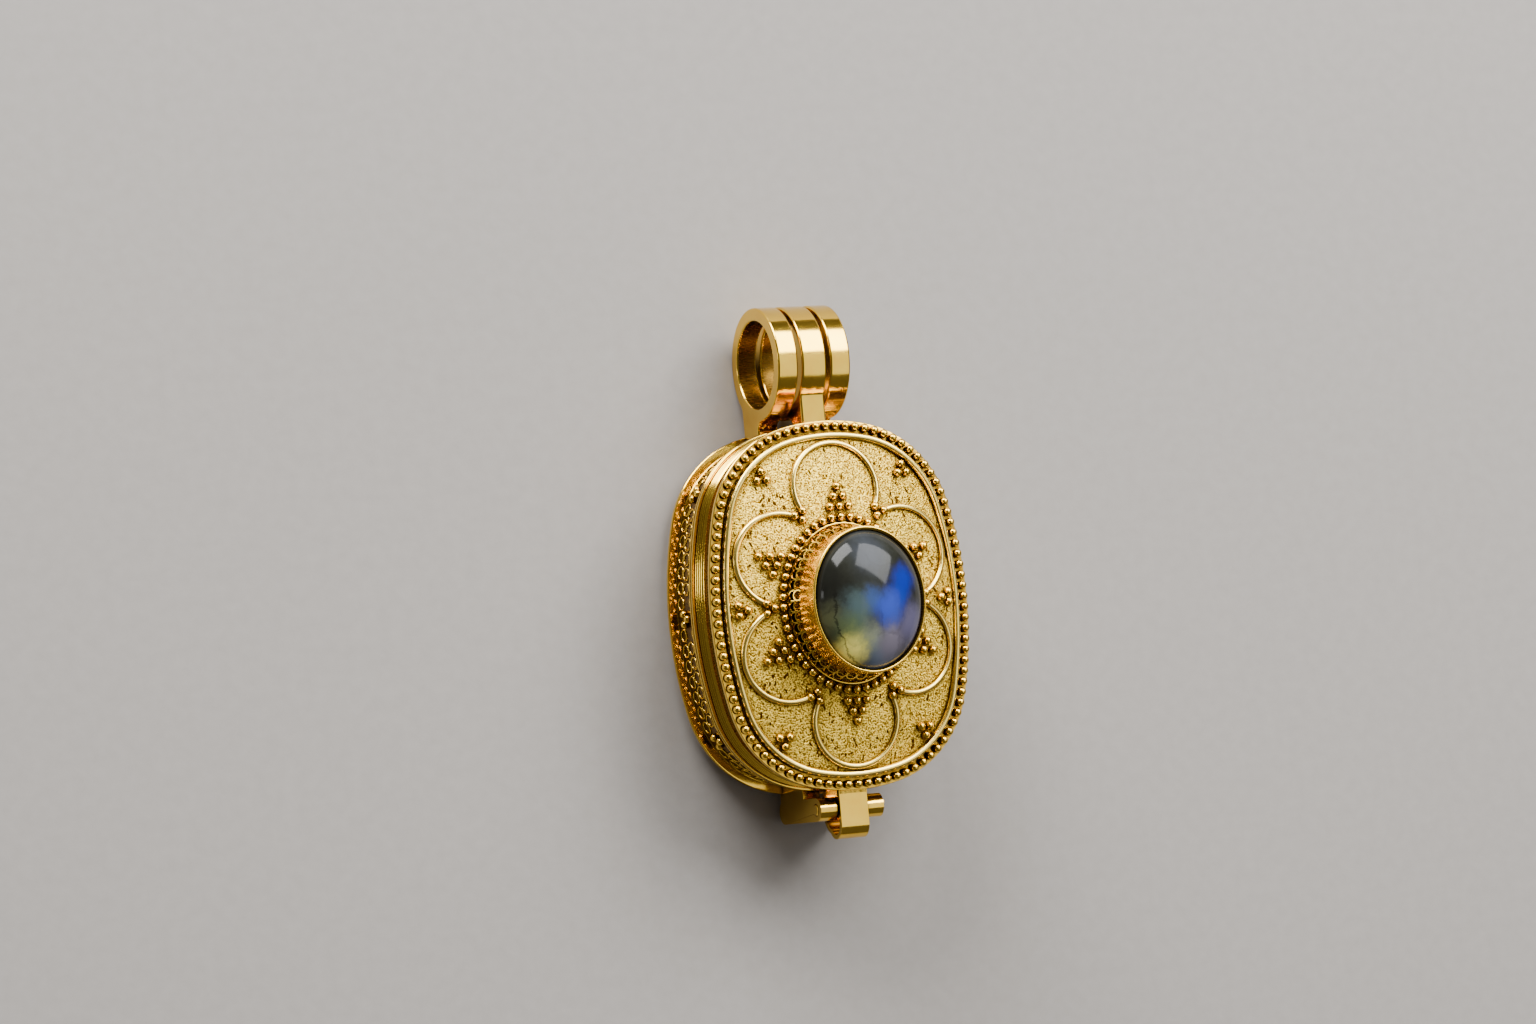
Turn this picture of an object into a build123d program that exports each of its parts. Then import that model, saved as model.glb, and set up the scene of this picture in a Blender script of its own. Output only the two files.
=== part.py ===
from build123d import *
import math
import os

# Locket pendant that lies on its back. +X points to the wearer's left, +Y points to the bail, and
# +Z comes out of the lid. The origin is the middle of the case, on the face that it rests on.
# All sizes are millimetres.

# Outline of the case: a cushion of eight tangent arcs
CASE_WIDTH = 24.4
CASE_HEIGHT = 32.0
SIDE_RADIUS = 35.0
END_RADIUS = 18.0
CORNER_RADIUS = 9.6

# Section of the case, from the face that it rests on upwards
PANEL_RISE = 1.2
PANEL_INSET = 1.7
PANEL_FILLET = 0.7
FLANGE = 0.45
BACK_WALL_HEIGHT = 4.3
LIP = 0.32
SEAM_GAP = 0.1
RIB_COUNT = 4
RIB_PITCH = 0.41
RIB_DEPTH = 0.12
GROOVE_HEIGHT = 1.96

# How far each level stands inside the outline, and the thickness of the sheet
LIP_INSET = 0.1
BACK_WALL_INSET = 0.8
RIB_INSET = 0.38
GROOVE_INSET = 0.8
SHEET = 0.8

# Gap that stands for the solder between two pieces
SOLDER_GAP = 0.04

# Domed field of the lid, measured from the face of its flange
FIELD_INSET = 1.15
FIELD_CROWN = 1.75
FIELD_EDGE = 0.36

# Border of the lid: a row of beads and a round wire
BEAD_DIAMETER = 0.78
BEAD_PITCH = 0.93
BEAD_INSET = 0.5
BEAD_SUNK = 0.12
BORDER_WIRE = 0.6
BORDER_INSET = 1.36
BORDER_LIFT = 0.42

# Granules soldered on the field: their diameter and pitch as shares of the field's half-width
GRANULE_SHARE = 0.07
PITCH_SHARE = 0.081
GRANULE_SUNK = 0.1
GRANULE_GAP = 0.04
CLUSTER_ROWS = 3
CLUSTER_ANGLE = 30.0

# Rosette: junctions stand outside the granule ring, and petals and triplets inside the outline.
# Reaches are counted in granule pitches, and places in shares of a quarter of the outline.
SIDE_JUNCTION_REACH = 1.65
END_JUNCTION_REACH = 1.97
END_JUNCTION_ANGLE = 64.3
PETAL_WIRE = 0.52
PETAL_SUNK = 0.14
PETAL_STEPS = 6
SIDE_PETAL_PLACE = 0.29
SIDE_PETAL_INSET = 2.22
END_PETAL_INSET = 1.99
TRIPLET_PLACE = 0.625
TRIPLET_INSET = 2.57
SIDE_TRIPLET_INSET = 2.5

# Stone: an oval cabochon
STONE_WIDTH = 10.0
STONE_LENGTH = 12.0
STONE_GIRDLE = 1.0
STONE_DOME = 3.0
STONE_CHAMFER = 0.25
STONE_CLEARANCE = 0.04

# Bezel: a flared gallery, a plain collar over it and a rim that holds the stone
GALLERY_HEIGHT = 2.4
GALLERY_STEP = 0.14
GALLERY_FLARE_X = 0.25
GALLERY_FLARE_Y = 0.6
SEAT_LEDGE = 0.7
COLLAR_WALL = 0.26
RIM_DROP = 0.62
RIM_HEIGHT = 0.26
RIM_FILLET = 0.1
FOOT_WIRE = 0.34
FOOT_SUNK = 0.06

# Bail: three rings on one axis, each on its own stem
BAIL_OUTER = 5.0
BAIL_BORE = 3.85
BAIL_REACH = 5.65
BAIL_MIDDLE = 2.3
BAIL_SIDE = 1.9
BAIL_GAP = 0.4
BAIL_EDGE = 0.14
STEM_FLARE = 0.9
SIDE_STEM_BACK = 0.2
SIDE_STEM_DEPTH = 3.0
MIDDLE_STEM_BACK = 0.04
MIDDLE_STEM_FRONT = 1.9

# Hinge: a strap that loops round the pin on the lid, between two ears of the back half
PIN_DIAMETER = 1.0
PIN_CLEARANCE = 0.04
PIN_DROP = 1.42
PIN_ABOVE_SEAM = 2.1
PIN_END = 0.08
KNUCKLE_DIAMETER = 2.04
STRAP_WIDTH = 2.66
STRAP_SHEET = 0.42
STRAP_FRONT = 1.34
STRAP_RADIUS = 2.4
STRAP_LOBE_DROP = 1.33
EAR_GAP = 0.12
EAR_WIDTH = 1.55
EAR_BACK = 0.6

# Granule groups on the side wall of the back half
WALL_GRANULE = 0.7
WALL_PITCH = 0.88
WALL_SUNK = 0.15
WALL_GROUP_PLACES = (0.0, 0.5)

# Levels
back_flange_z = PANEL_RISE
back_wall_z = back_flange_z + FLANGE
back_lip_z = back_wall_z + BACK_WALL_HEIGHT
seam_z = back_lip_z + LIP
lid_lip_z = seam_z + SEAM_GAP
rib_z = lid_lip_z + LIP
groove_z = rib_z + RIB_COUNT * RIB_PITCH
lid_flange_z = groove_z + GROOVE_HEIGHT
face_z = lid_flange_z + FLANGE
crown_z = face_z + FIELD_CROWN
seat_z = crown_z + GALLERY_HEIGHT
girdle_z = seat_z + STONE_CLEARANCE + STONE_GIRDLE
rim_z = girdle_z + RIM_DROP

# Half sizes of the field inside the border wire
field_x = CASE_WIDTH / 2 - BORDER_INSET
field_y = CASE_HEIGHT / 2 - BORDER_INSET

# The field is a piece of a torus: one radius across the case and a longer one along it
field_sagitta = FIELD_CROWN - FIELD_EDGE
field_radius_x = (field_x**2 + field_sagitta**2) / (2 * field_sagitta)
field_radius_y = (field_y**2 + field_sagitta**2) / (2 * field_sagitta)

# Diameter and pitch of the granules on the field
granule_diameter = GRANULE_SHARE * field_x
granule_pitch = PITCH_SHARE * field_x

# Half sizes of the bezel's ovals, and of the oval that the granule ring follows
stone_x = STONE_WIDTH / 2
stone_y = STONE_LENGTH / 2
collar_x = stone_x + STONE_CLEARANCE + COLLAR_WALL
collar_y = stone_y + STONE_CLEARANCE + COLLAR_WALL
gallery_x = collar_x - GALLERY_STEP
gallery_y = collar_y - GALLERY_STEP
foot_x = gallery_x + GALLERY_FLARE_X + FOOT_WIRE / 2 - FOOT_SUNK
foot_y = gallery_y + GALLERY_FLARE_Y + FOOT_WIRE / 2 - FOOT_SUNK
ring_x = foot_x + FOOT_WIRE / 2 + granule_diameter / 2 + GRANULE_GAP
ring_y = foot_y + FOOT_WIRE / 2 + granule_diameter / 2 + GRANULE_GAP

# Axes of the bail and of the hinge pin
bail_y = CASE_HEIGHT / 2 + BAIL_REACH
bail_z = BAIL_OUTER
pin_y = -CASE_HEIGHT / 2 - PIN_DROP
pin_z = seam_z + PIN_ABOVE_SEAM
bore_radius = PIN_DIAMETER / 2 + PIN_CLEARANCE
ear_x = STRAP_WIDTH / 2 + EAR_GAP

# Centres of the side arc and of the end arc of the outline
side_centre = Vector(CASE_WIDTH / 2 - SIDE_RADIUS, 0)
end_centre = Vector(0, CASE_HEIGHT / 2 - END_RADIUS)


def corner_centre():
    """Centre of the corner arc that is tangent to the side arc and to the end arc."""
    from_side = SIDE_RADIUS - CORNER_RADIUS
    from_end = END_RADIUS - CORNER_RADIUS
    across = end_centre - side_centre
    along = (from_side**2 - from_end**2 + across.length**2) / (2 * across.length)
    away = math.sqrt(from_side**2 - along**2)
    step = across.normalized()
    return side_centre + step * along + Vector(-step.Y, step.X) * away


def corner_arc(inset):
    """Start, middle and end of the corner arc of the outline drawn in by inset."""
    centre = corner_centre()
    from_side = (centre - side_centre).normalized()
    from_end = (centre - end_centre).normalized()
    middle = (from_side + from_end).normalized()
    radius = CORNER_RADIUS - inset
    return centre + from_side * radius, centre + middle * radius, centre + from_end * radius


def case_face(inset):
    """The cushion outline as a face, drawn in by inset all round."""
    side, middle, end = corner_arc(inset)
    half_width = CASE_WIDTH / 2 - inset
    half_height = CASE_HEIGHT / 2 - inset
    with BuildSketch() as outline:
        with BuildLine():
            for turn in (1, -1):
                near = side * turn
                corner = middle * turn
                far = end * turn
                ThreePointArc((near.X, -near.Y), (turn * half_width, 0), near)
                ThreePointArc(near, corner, far)
                ThreePointArc(far, (0, turn * half_height), (-far.X, far.Y))
                ThreePointArc((-far.X, far.Y), (-corner.X, corner.Y), (-near.X, near.Y))
        make_face()
    return outline.sketch


def clear_back_half():
    """Cut what is being built back from the back half, by the solder gap."""
    flange_bottom = back_flange_z - SOLDER_GAP
    wall_bottom = back_wall_z + SOLDER_GAP
    wall_top = back_lip_z - SOLDER_GAP
    slab(flange_bottom, wall_bottom, -SOLDER_GAP, mode=Mode.SUBTRACT)
    slab(wall_bottom, wall_top, BACK_WALL_INSET - SOLDER_GAP, mode=Mode.SUBTRACT)
    slab(wall_top, seam_z, LIP_INSET - SOLDER_GAP, mode=Mode.SUBTRACT)


def clear_lid():
    """Cut what is being built back from the lid's wall, by the solder gap."""
    rib_bottom = rib_z + SOLDER_GAP
    groove_bottom = groove_z + SOLDER_GAP
    slab(lid_lip_z - SOLDER_GAP, rib_bottom, LIP_INSET - SOLDER_GAP, mode=Mode.SUBTRACT)
    slab(rib_bottom, groove_bottom, RIB_INSET - SOLDER_GAP, mode=Mode.SUBTRACT)
    slab(groove_bottom, lid_flange_z, GROOVE_INSET - SOLDER_GAP, mode=Mode.SUBTRACT)


def case_quarter(inset):
    """A quarter of the outline, from the middle of the +X side to the middle of the +Y end."""
    side, middle, end = corner_arc(inset)
    waist = Vector(CASE_WIDTH / 2 - inset, 0)
    top = Vector(0, CASE_HEIGHT / 2 - inset)
    half_side = (waist + side - side_centre * 2).normalized() * (SIDE_RADIUS - inset)
    half_end = (top + end - end_centre * 2).normalized() * (END_RADIUS - inset)
    with BuildLine() as quarter:
        ThreePointArc(waist, side_centre + half_side, side)
        ThreePointArc(side, middle, end)
        ThreePointArc(end, end_centre + half_end, top)
    return quarter.wire()


def oval_quarter(half_width, half_length):
    """A quarter of an oval, from its +X side to its +Y end."""
    with BuildLine() as quarter:
        EllipticalCenterArc((0, 0), half_width, half_length, arc_size=90)
    return quarter.wire()


def around(quarter, pitch):
    """Points about a pitch apart all round an outline that is given by one quarter of it."""
    count = round(quarter.length / pitch)
    points = []
    for step in range(count):
        here = quarter @ (step / count)
        there = quarter @ ((step + 1) / count)
        points += [(here.X, here.Y), (-there.X, there.Y), (-here.X, -here.Y), (there.X, -there.Y)]
    return points


def slab(bottom, top, inset, mode=Mode.ADD):
    """A level of the case from bottom to top, for the part that is being built."""
    with BuildSketch(Plane.XY.offset(bottom)) as level:
        add(case_face(inset))
    extrude(level.sketch, amount=top - bottom, mode=mode)


def oval_slab(bottom, top, half_width, half_length, mode=Mode.ADD):
    """A level of the bezel from bottom to top, for the part that is being built."""
    with BuildSketch(Plane.XY.offset(bottom)) as level:
        Ellipse(half_width, half_length)
    extrude(level.sketch, amount=top - bottom, mode=mode)


def field_height(x, y):
    """Height of the field's surface above the resting face."""
    drop = field_radius_x - math.sqrt(field_radius_x**2 - x**2)
    return crown_z - field_radius_y + math.sqrt((field_radius_y - drop) ** 2 - y**2)


def on_field(point, lift):
    """The point of the field under a point of its plan, raised by lift."""
    return Vector(point[0], point[1], field_height(*point) + lift)


def under_field(drop):
    """A ring whose outside is the field's surface lowered by drop, and which is deeper than the lid."""
    half_width = CASE_WIDTH / 2
    radius = field_radius_x - drop
    top = crown_z - drop
    edge = top - radius + math.sqrt(radius**2 - half_width**2)
    with BuildPart() as ring:
        with BuildSketch(Plane.XZ):
            with BuildLine():
                ThreePointArc((-half_width, edge), (0, top), (half_width, edge))
                Polyline((half_width, edge), (half_width, 0), (-half_width, 0), (-half_width, edge))
            make_face()
        revolve(axis=Axis((0, 0, crown_z - field_radius_y), (1, 0, 0)), revolution_arc=360)
    return ring.part


def granules(points, diameter, sunk):
    """Add a granule on the field at each point of its plan."""
    with Locations(*[on_field(point, diameter / 2 - sunk) for point in points]):
        Sphere(diameter / 2)


def four_ways(point):
    """A point and its mirror images about both axes of the case."""
    x, y = point
    return [(x, y), (-x, y), (-x, -y), (x, -y)]


def two_ways(point):
    """A point and the same point turned half a turn."""
    x, y = point
    return [(x, y), (-x, -y)]


def off_ring(angle, reach):
    """The point of the plan at an angle, reach outside the oval that the granule ring follows."""
    side = Vector(math.cos(math.radians(angle)), math.sin(math.radians(angle)))
    return side * (1 / math.hypot(side.X / ring_x, side.Y / ring_y) + reach)


# Junctions of the rosette: where two petal wires end side by side
side_junction = off_ring(0, SIDE_JUNCTION_REACH * granule_pitch)
end_junction = off_ring(END_JUNCTION_ANGLE, END_JUNCTION_REACH * granule_pitch)


def junction_ends(junction):
    """The two wire ends at a junction, half a pitch to each side of it, clockwise one first."""
    outward = junction.normalized()
    sideways = Vector(-outward.Y, outward.X) * (granule_pitch / 2)
    return junction - sideways, junction + sideways


def petal_wire(start, apex, end):
    """A petal wire that follows the field under the arc through three points of the plan."""
    lift = PETAL_WIRE / 2 - PETAL_SUNK
    with BuildLine(mode=Mode.PRIVATE) as plan:
        ThreePointArc(start, apex, end)
    points = [plan.line @ (step / PETAL_STEPS) for step in range(PETAL_STEPS + 1)]
    with BuildPart() as wire:
        with BuildLine() as path:
            Spline(*[on_field((point.X, point.Y), lift) for point in points])
        with BuildSketch(Plane(origin=path.line @ 0, z_dir=path.line % 0)):
            Circle(PETAL_WIRE / 2)
        sweep()
    return wire.part


def petals():
    """Add the six petal wires."""
    side_end = junction_ends(side_junction)[1]
    near_end, far_end = junction_ends(end_junction)
    side_apex = case_quarter(SIDE_PETAL_INSET) @ SIDE_PETAL_PLACE
    side_petal = petal_wire(side_end, side_apex, near_end)
    end_apex = Vector(0, CASE_HEIGHT / 2 - END_PETAL_INSET)
    end_petal = petal_wire(far_end, end_apex, Vector(-far_end.X, far_end.Y))
    for petal in (side_petal, mirror(side_petal, about=Plane.YZ, mode=Mode.PRIVATE)):
        add(petal)
        add(mirror(petal, about=Plane.XZ, mode=Mode.PRIVATE))
    add(end_petal)
    add(mirror(end_petal, about=Plane.XZ, mode=Mode.PRIVATE))


def junction_granules():
    """Three granules at each junction: one on each wire end and one nearer to the bezel."""
    points = []
    for junction in (side_junction, end_junction):
        inner = junction - junction.normalized() * (granule_pitch * 0.75)
        for end in (*junction_ends(junction), inner):
            if junction is end_junction or end.Y > 0.01:
                points += four_ways((end.X, end.Y))
            elif abs(end.Y) < 0.01:
                points += two_ways((end.X, 0))
    return points


def cluster_granules():
    """Rows of 3, 2 and 1 granules that point into each petal from the granule ring."""
    points = []
    turn = math.radians(CLUSTER_ANGLE)
    across = Vector(-math.sin(turn), math.cos(turn))
    for row in range(1, CLUSTER_ROWS + 1):
        width = CLUSTER_ROWS - row
        for place in range(width + 1):
            offset = (place - width / 2) * granule_pitch
            reach = row * granule_pitch + GRANULE_GAP
            point = off_ring(CLUSTER_ANGLE, reach) + across * offset
            points += four_ways((point.X, point.Y))
            points += two_ways((offset, ring_y + reach))
    return points


def triplet_granules():
    """Groups of three granules in the spaces between the petals and the border wire."""
    points = []
    corner = case_quarter(TRIPLET_INSET) @ TRIPLET_PLACE
    side_x = CASE_WIDTH / 2 - SIDE_TRIPLET_INSET
    reach = granule_pitch / math.sqrt(3)
    for turn in (90, 210, 330):
        step = Vector(math.cos(math.radians(turn)), math.sin(math.radians(turn))) * reach
        points += four_ways((corner.X + step.X, corner.Y + step.Y))
        points += two_ways((side_x - step.Y, step.X))
    return points


def wall_granules():
    """Centres of the granules on the back half's side wall, in groups of three."""
    quarter = case_quarter(BACK_WALL_INSET)
    middle_z = back_wall_z + BACK_WALL_HEIGHT / 2
    stand = WALL_GRANULE / 2 - WALL_SUNK
    centres = []
    for place in WALL_GROUP_PLACES:
        along = quarter % place
        out = Vector(along.Y, -along.X)
        for step, rise in ((-0.5, -0.4), (0.5, -0.4), (0, 0.4)):
            spot = (quarter @ place) + along * (step * WALL_PITCH) + out * stand
            level = middle_z + rise * WALL_PITCH
            mirrors = two_ways((spot.X, spot.Y)) if place == 0 else four_ways((spot.X, spot.Y))
            centres += [Vector(x, y, level) for x, y in mirrors]
    return centres


def bail_ring(start_x, width, stem_back, stem_front, foot):
    """One ring of the bail with the stem that carries it, from start_x towards +X."""
    with BuildPart() as ring:
        with BuildSketch(Plane.YZ.offset(start_x)) as profile:
            with Locations((bail_y, bail_z)):
                Circle(BAIL_OUTER)
            with Locations(((foot + bail_y) / 2, (stem_back + stem_front) / 2)):
                Rectangle(bail_y - foot, stem_front - stem_back)
            neck = profile.vertices().filter_by_position(Axis.X, foot + 0.1, bail_y - 0.1)
            fillet(neck, STEM_FLARE)
        extrude(amount=width)
        with BuildSketch(Plane.YZ.offset(start_x)):
            with Locations((bail_y, bail_z)):
                Circle(BAIL_BORE)
        extrude(amount=width, mode=Mode.SUBTRACT)
        circles = ring.edges().filter_by(GeomType.CIRCLE)
        chamfer(circles.filter_by(lambda edge: abs(edge.radius - BAIL_BORE) < 0.01), BAIL_EDGE)
    return ring.part


def strap_face(inset):
    """Side view of the strap, drawn in by inset: a round loop with a lobe below and a flat front."""
    with BuildSketch() as loop:
        with Locations((pin_y, pin_z)):
            Circle(STRAP_RADIUS - inset)
        with Locations((pin_y, pin_z + STRAP_FRONT - inset)):
            wide = 4 * STRAP_RADIUS
            Rectangle(wide, wide, align=(Align.CENTER, Align.MAX), mode=Mode.INTERSECT)
        with Locations((pin_y - STRAP_LOBE_DROP, pin_z)):
            Circle(STRAP_FRONT - inset)
    return loop.sketch


def strap_loop():
    """The strap round its knuckle, with the tab that reaches into the lid's wall."""
    tab_top = -CASE_HEIGHT / 2 + GROOVE_INSET + SHEET / 2
    with BuildPart() as strap:
        with BuildSketch(Plane.YZ.offset(-STRAP_WIDTH / 2)):
            add(strap_face(0))
            add(strap_face(STRAP_SHEET), mode=Mode.SUBTRACT)
            with Locations((tab_top, pin_z + STRAP_FRONT)):
                Rectangle(tab_top - pin_y, STRAP_SHEET, align=(Align.MAX, Align.MAX))
            with Locations((pin_y, pin_z)):
                Circle(KNUCKLE_DIAMETER / 2)
                Circle(bore_radius, mode=Mode.SUBTRACT)
        extrude(amount=STRAP_WIDTH)
    return strap.part


def hinge_ear():
    """The back half's ear on the wearer's left: a round-ended arm to the pin, and its root."""
    root_top = -CASE_HEIGHT / 2 + BACK_WALL_INSET + SHEET / 2
    back_centre = EAR_BACK + KNUCKLE_DIAMETER / 2
    with BuildPart() as ear:
        with BuildSketch(Plane.YZ.offset(ear_x)):
            with Locations((pin_y, (back_centre + pin_z) / 2)):
                SlotCenterToCenter(pin_z - back_centre, KNUCKLE_DIAMETER, rotation=90)
            with Locations((root_top, back_flange_z)):
                Rectangle(root_top - pin_y, back_lip_z - back_flange_z, align=(Align.MAX, Align.MIN))
            with Locations((pin_y, pin_z)):
                Circle(bore_radius, mode=Mode.SUBTRACT)
        extrude(amount=EAR_WIDTH)
    return ear.part


# Back half of the case: a tray with a flange behind, a lip at the seam and granules on its wall
with BuildPart() as back_case:
    slab(0, back_flange_z + SHEET, PANEL_INSET)
    fillet(back_case.faces().sort_by(Axis.Z)[0].edges(), PANEL_FILLET)
    slab(back_flange_z, back_wall_z, 0)
    slab(back_wall_z, back_lip_z, BACK_WALL_INSET)
    slab(back_lip_z, seam_z, LIP_INSET)
    slab(back_flange_z + SHEET, seam_z, BACK_WALL_INSET + SHEET, mode=Mode.SUBTRACT)
    slab(SHEET, back_flange_z + SHEET, PANEL_INSET + SHEET, mode=Mode.SUBTRACT)
    with Locations(*wall_granules()):
        Sphere(WALL_GRANULE / 2, rotation=(0, 90, 0))

# Outer rings of the bail, which stand on the back half
with BuildPart() as left_bail_ring:
    stem_back = back_flange_z + SIDE_STEM_BACK
    stem_foot = CASE_HEIGHT / 2 - BACK_WALL_INSET - SHEET / 2
    ring_start = BAIL_MIDDLE / 2 + BAIL_GAP
    add(bail_ring(ring_start, BAIL_SIDE, stem_back, stem_back + SIDE_STEM_DEPTH, stem_foot))
    clear_back_half()
with BuildPart() as right_bail_ring:
    mirror(left_bail_ring.part, about=Plane.YZ)

# Ears of the hinge, which stand on the back half
with BuildPart() as left_hinge_ear:
    add(hinge_ear())
    clear_back_half()
with BuildPart() as right_hinge_ear:
    mirror(left_hinge_ear.part, about=Plane.YZ)

# Middle ring of the bail, which stands on the lid
with BuildPart() as middle_bail_ring:
    stem_back = rib_z + MIDDLE_STEM_BACK
    stem_foot = CASE_HEIGHT / 2 - GROOVE_INSET - SHEET / 2
    add(bail_ring(-BAIL_MIDDLE / 2, BAIL_MIDDLE, stem_back, face_z - MIDDLE_STEM_FRONT, stem_foot))
    clear_lid()

# Strap of the hinge, which hangs from the lid and turns on the pin
with BuildPart() as hinge_strap:
    add(strap_loop())
    clear_lid()

# Hollow of the lid: it follows the field one sheet below it
with BuildPart() as lid_hollow:
    add(under_field(SHEET))
    slab(lid_lip_z, crown_z, GROOVE_INSET + SHEET, mode=Mode.INTERSECT)

# Border wire of the lid, half sunk in the flange
with BuildPart() as border_wire:
    wire_bottom = face_z - FLANGE / 2
    wire_top = face_z + BORDER_LIFT + BORDER_WIRE / 2
    slab(wire_bottom, wire_top, BORDER_INSET - BORDER_WIRE / 2)
    slab(wire_bottom, wire_top, BORDER_INSET + BORDER_WIRE / 2, mode=Mode.SUBTRACT)
    fillet(border_wire.faces().sort_by(Axis.Z)[-1].edges(), BORDER_WIRE * 0.45)

# Bezel: foot wire, flared gallery, collar, and the rim that holds the stone
with BuildPart() as bezel:
    bezel_z = crown_z - SHEET / 2
    foot_top = field_height(foot_x, 0) + FOOT_WIRE - FOOT_SUNK
    oval_slab(bezel_z, foot_top, foot_x + FOOT_WIRE / 2, foot_y + FOOT_WIRE / 2)
    fillet(bezel.faces().sort_by(Axis.Z)[-1].edges(), FOOT_WIRE * 0.45)
    with BuildSketch(Plane.XY.offset(bezel_z)) as gallery_foot:
        Ellipse(gallery_x + GALLERY_FLARE_X, gallery_y + GALLERY_FLARE_Y)
    with BuildSketch(Plane.XY.offset(seat_z)) as gallery_top:
        Ellipse(gallery_x, gallery_y)
    loft([gallery_foot.sketch, gallery_top.sketch])
    oval_slab(seat_z, rim_z + RIM_HEIGHT, collar_x, collar_y)
    fillet(bezel.faces().sort_by(Axis.Z)[-1].edges(), RIM_FILLET)
    oval_slab(bezel_z, seat_z, stone_x - SEAT_LEDGE, stone_y - SEAT_LEDGE, mode=Mode.SUBTRACT)
    oval_slab(seat_z, rim_z, stone_x + STONE_CLEARANCE, stone_y + STONE_CLEARANCE, mode=Mode.SUBTRACT)
    rim_share = math.sqrt(1 - (RIM_DROP / STONE_DOME) ** 2)
    rim_x = stone_x * rim_share + STONE_CLEARANCE
    rim_y = stone_y * rim_share + STONE_CLEARANCE
    oval_slab(rim_z, rim_z + RIM_HEIGHT, rim_x, rim_y, mode=Mode.SUBTRACT)
    add(under_field(-SOLDER_GAP), mode=Mode.SUBTRACT)

# Lid: side wall, flange, domed field, border, rosette and granules
with BuildPart() as front_lid:
    add(under_field(0))
    slab(lid_flange_z, crown_z, FIELD_INSET, mode=Mode.INTERSECT)
    slab(lid_flange_z, face_z, 0)
    slab(groove_z, lid_flange_z, GROOVE_INSET)
    slab(rib_z, groove_z, RIB_INSET + RIB_DEPTH)
    for rib in range(RIB_COUNT):
        rib_bottom = rib_z + (rib + 0.25) * RIB_PITCH
        slab(rib_bottom, rib_bottom + RIB_PITCH / 2, RIB_INSET)
    slab(lid_lip_z, rib_z, LIP_INSET)
    add(lid_hollow.part, mode=Mode.SUBTRACT)
    add(border_wire.part)
    bead_z = face_z + BEAD_DIAMETER / 2 - BEAD_SUNK
    with Locations(*[(x, y, bead_z) for x, y in around(case_quarter(BEAD_INSET), BEAD_PITCH)]):
        Sphere(BEAD_DIAMETER / 2)
    petals()
    field_granules = around(oval_quarter(ring_x, ring_y), granule_pitch)
    field_granules += junction_granules() + cluster_granules() + triplet_granules()
    granules(field_granules, granule_diameter, GRANULE_SUNK)

# Hinge pin
with BuildPart() as hinge_pin:
    pin_half = ear_x + EAR_WIDTH + PIN_END
    with BuildSketch(Plane.YZ.offset(-pin_half)):
        with Locations((pin_y, pin_z)):
            Circle(PIN_DIAMETER / 2)
    extrude(amount=2 * pin_half)
    fillet(hinge_pin.edges().filter_by(GeomType.CIRCLE), PIN_DIAMETER / 8)

# Cabochon: half an ellipsoid on a straight girdle
with BuildPart() as cabochon:
    with Locations((0, 0, girdle_z)):
        Sphere(1)
    scale(by=(stone_x, stone_y, STONE_DOME), about=(0, 0, girdle_z))
    split(bisect_by=Plane.XY.offset(girdle_z), keep=Keep.TOP)
    oval_slab(seat_z + STONE_CLEARANCE, girdle_z, stone_x, stone_y)
    chamfer(cabochon.faces().sort_by(Axis.Z)[0].edges(), STONE_CHAMFER)

os.makedirs("parts", exist_ok=True)
back_case.part.label = "back_case"
export_step(back_case.part, "parts/back_case.step")
left_bail_ring.part.label = "left_bail_ring"
export_step(left_bail_ring.part, "parts/left_bail_ring.step")
right_bail_ring.part.label = "right_bail_ring"
export_step(right_bail_ring.part, "parts/right_bail_ring.step")
left_hinge_ear.part.label = "left_hinge_ear"
export_step(left_hinge_ear.part, "parts/left_hinge_ear.step")
right_hinge_ear.part.label = "right_hinge_ear"
export_step(right_hinge_ear.part, "parts/right_hinge_ear.step")
hinge_pin.part.label = "hinge_pin"
export_step(hinge_pin.part, "parts/hinge_pin.step")
front_lid.part.label = "front_lid"
export_step(front_lid.part, "parts/front_lid.step")
middle_bail_ring.part.label = "middle_bail_ring"
export_step(middle_bail_ring.part, "parts/middle_bail_ring.step")
hinge_strap.part.label = "hinge_strap"
export_step(hinge_strap.part, "parts/hinge_strap.step")
bezel.part.label = "bezel"
export_step(bezel.part, "parts/bezel.step")
cabochon.part.label = "cabochon"
export_step(cabochon.part, "parts/cabochon.step")
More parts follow.
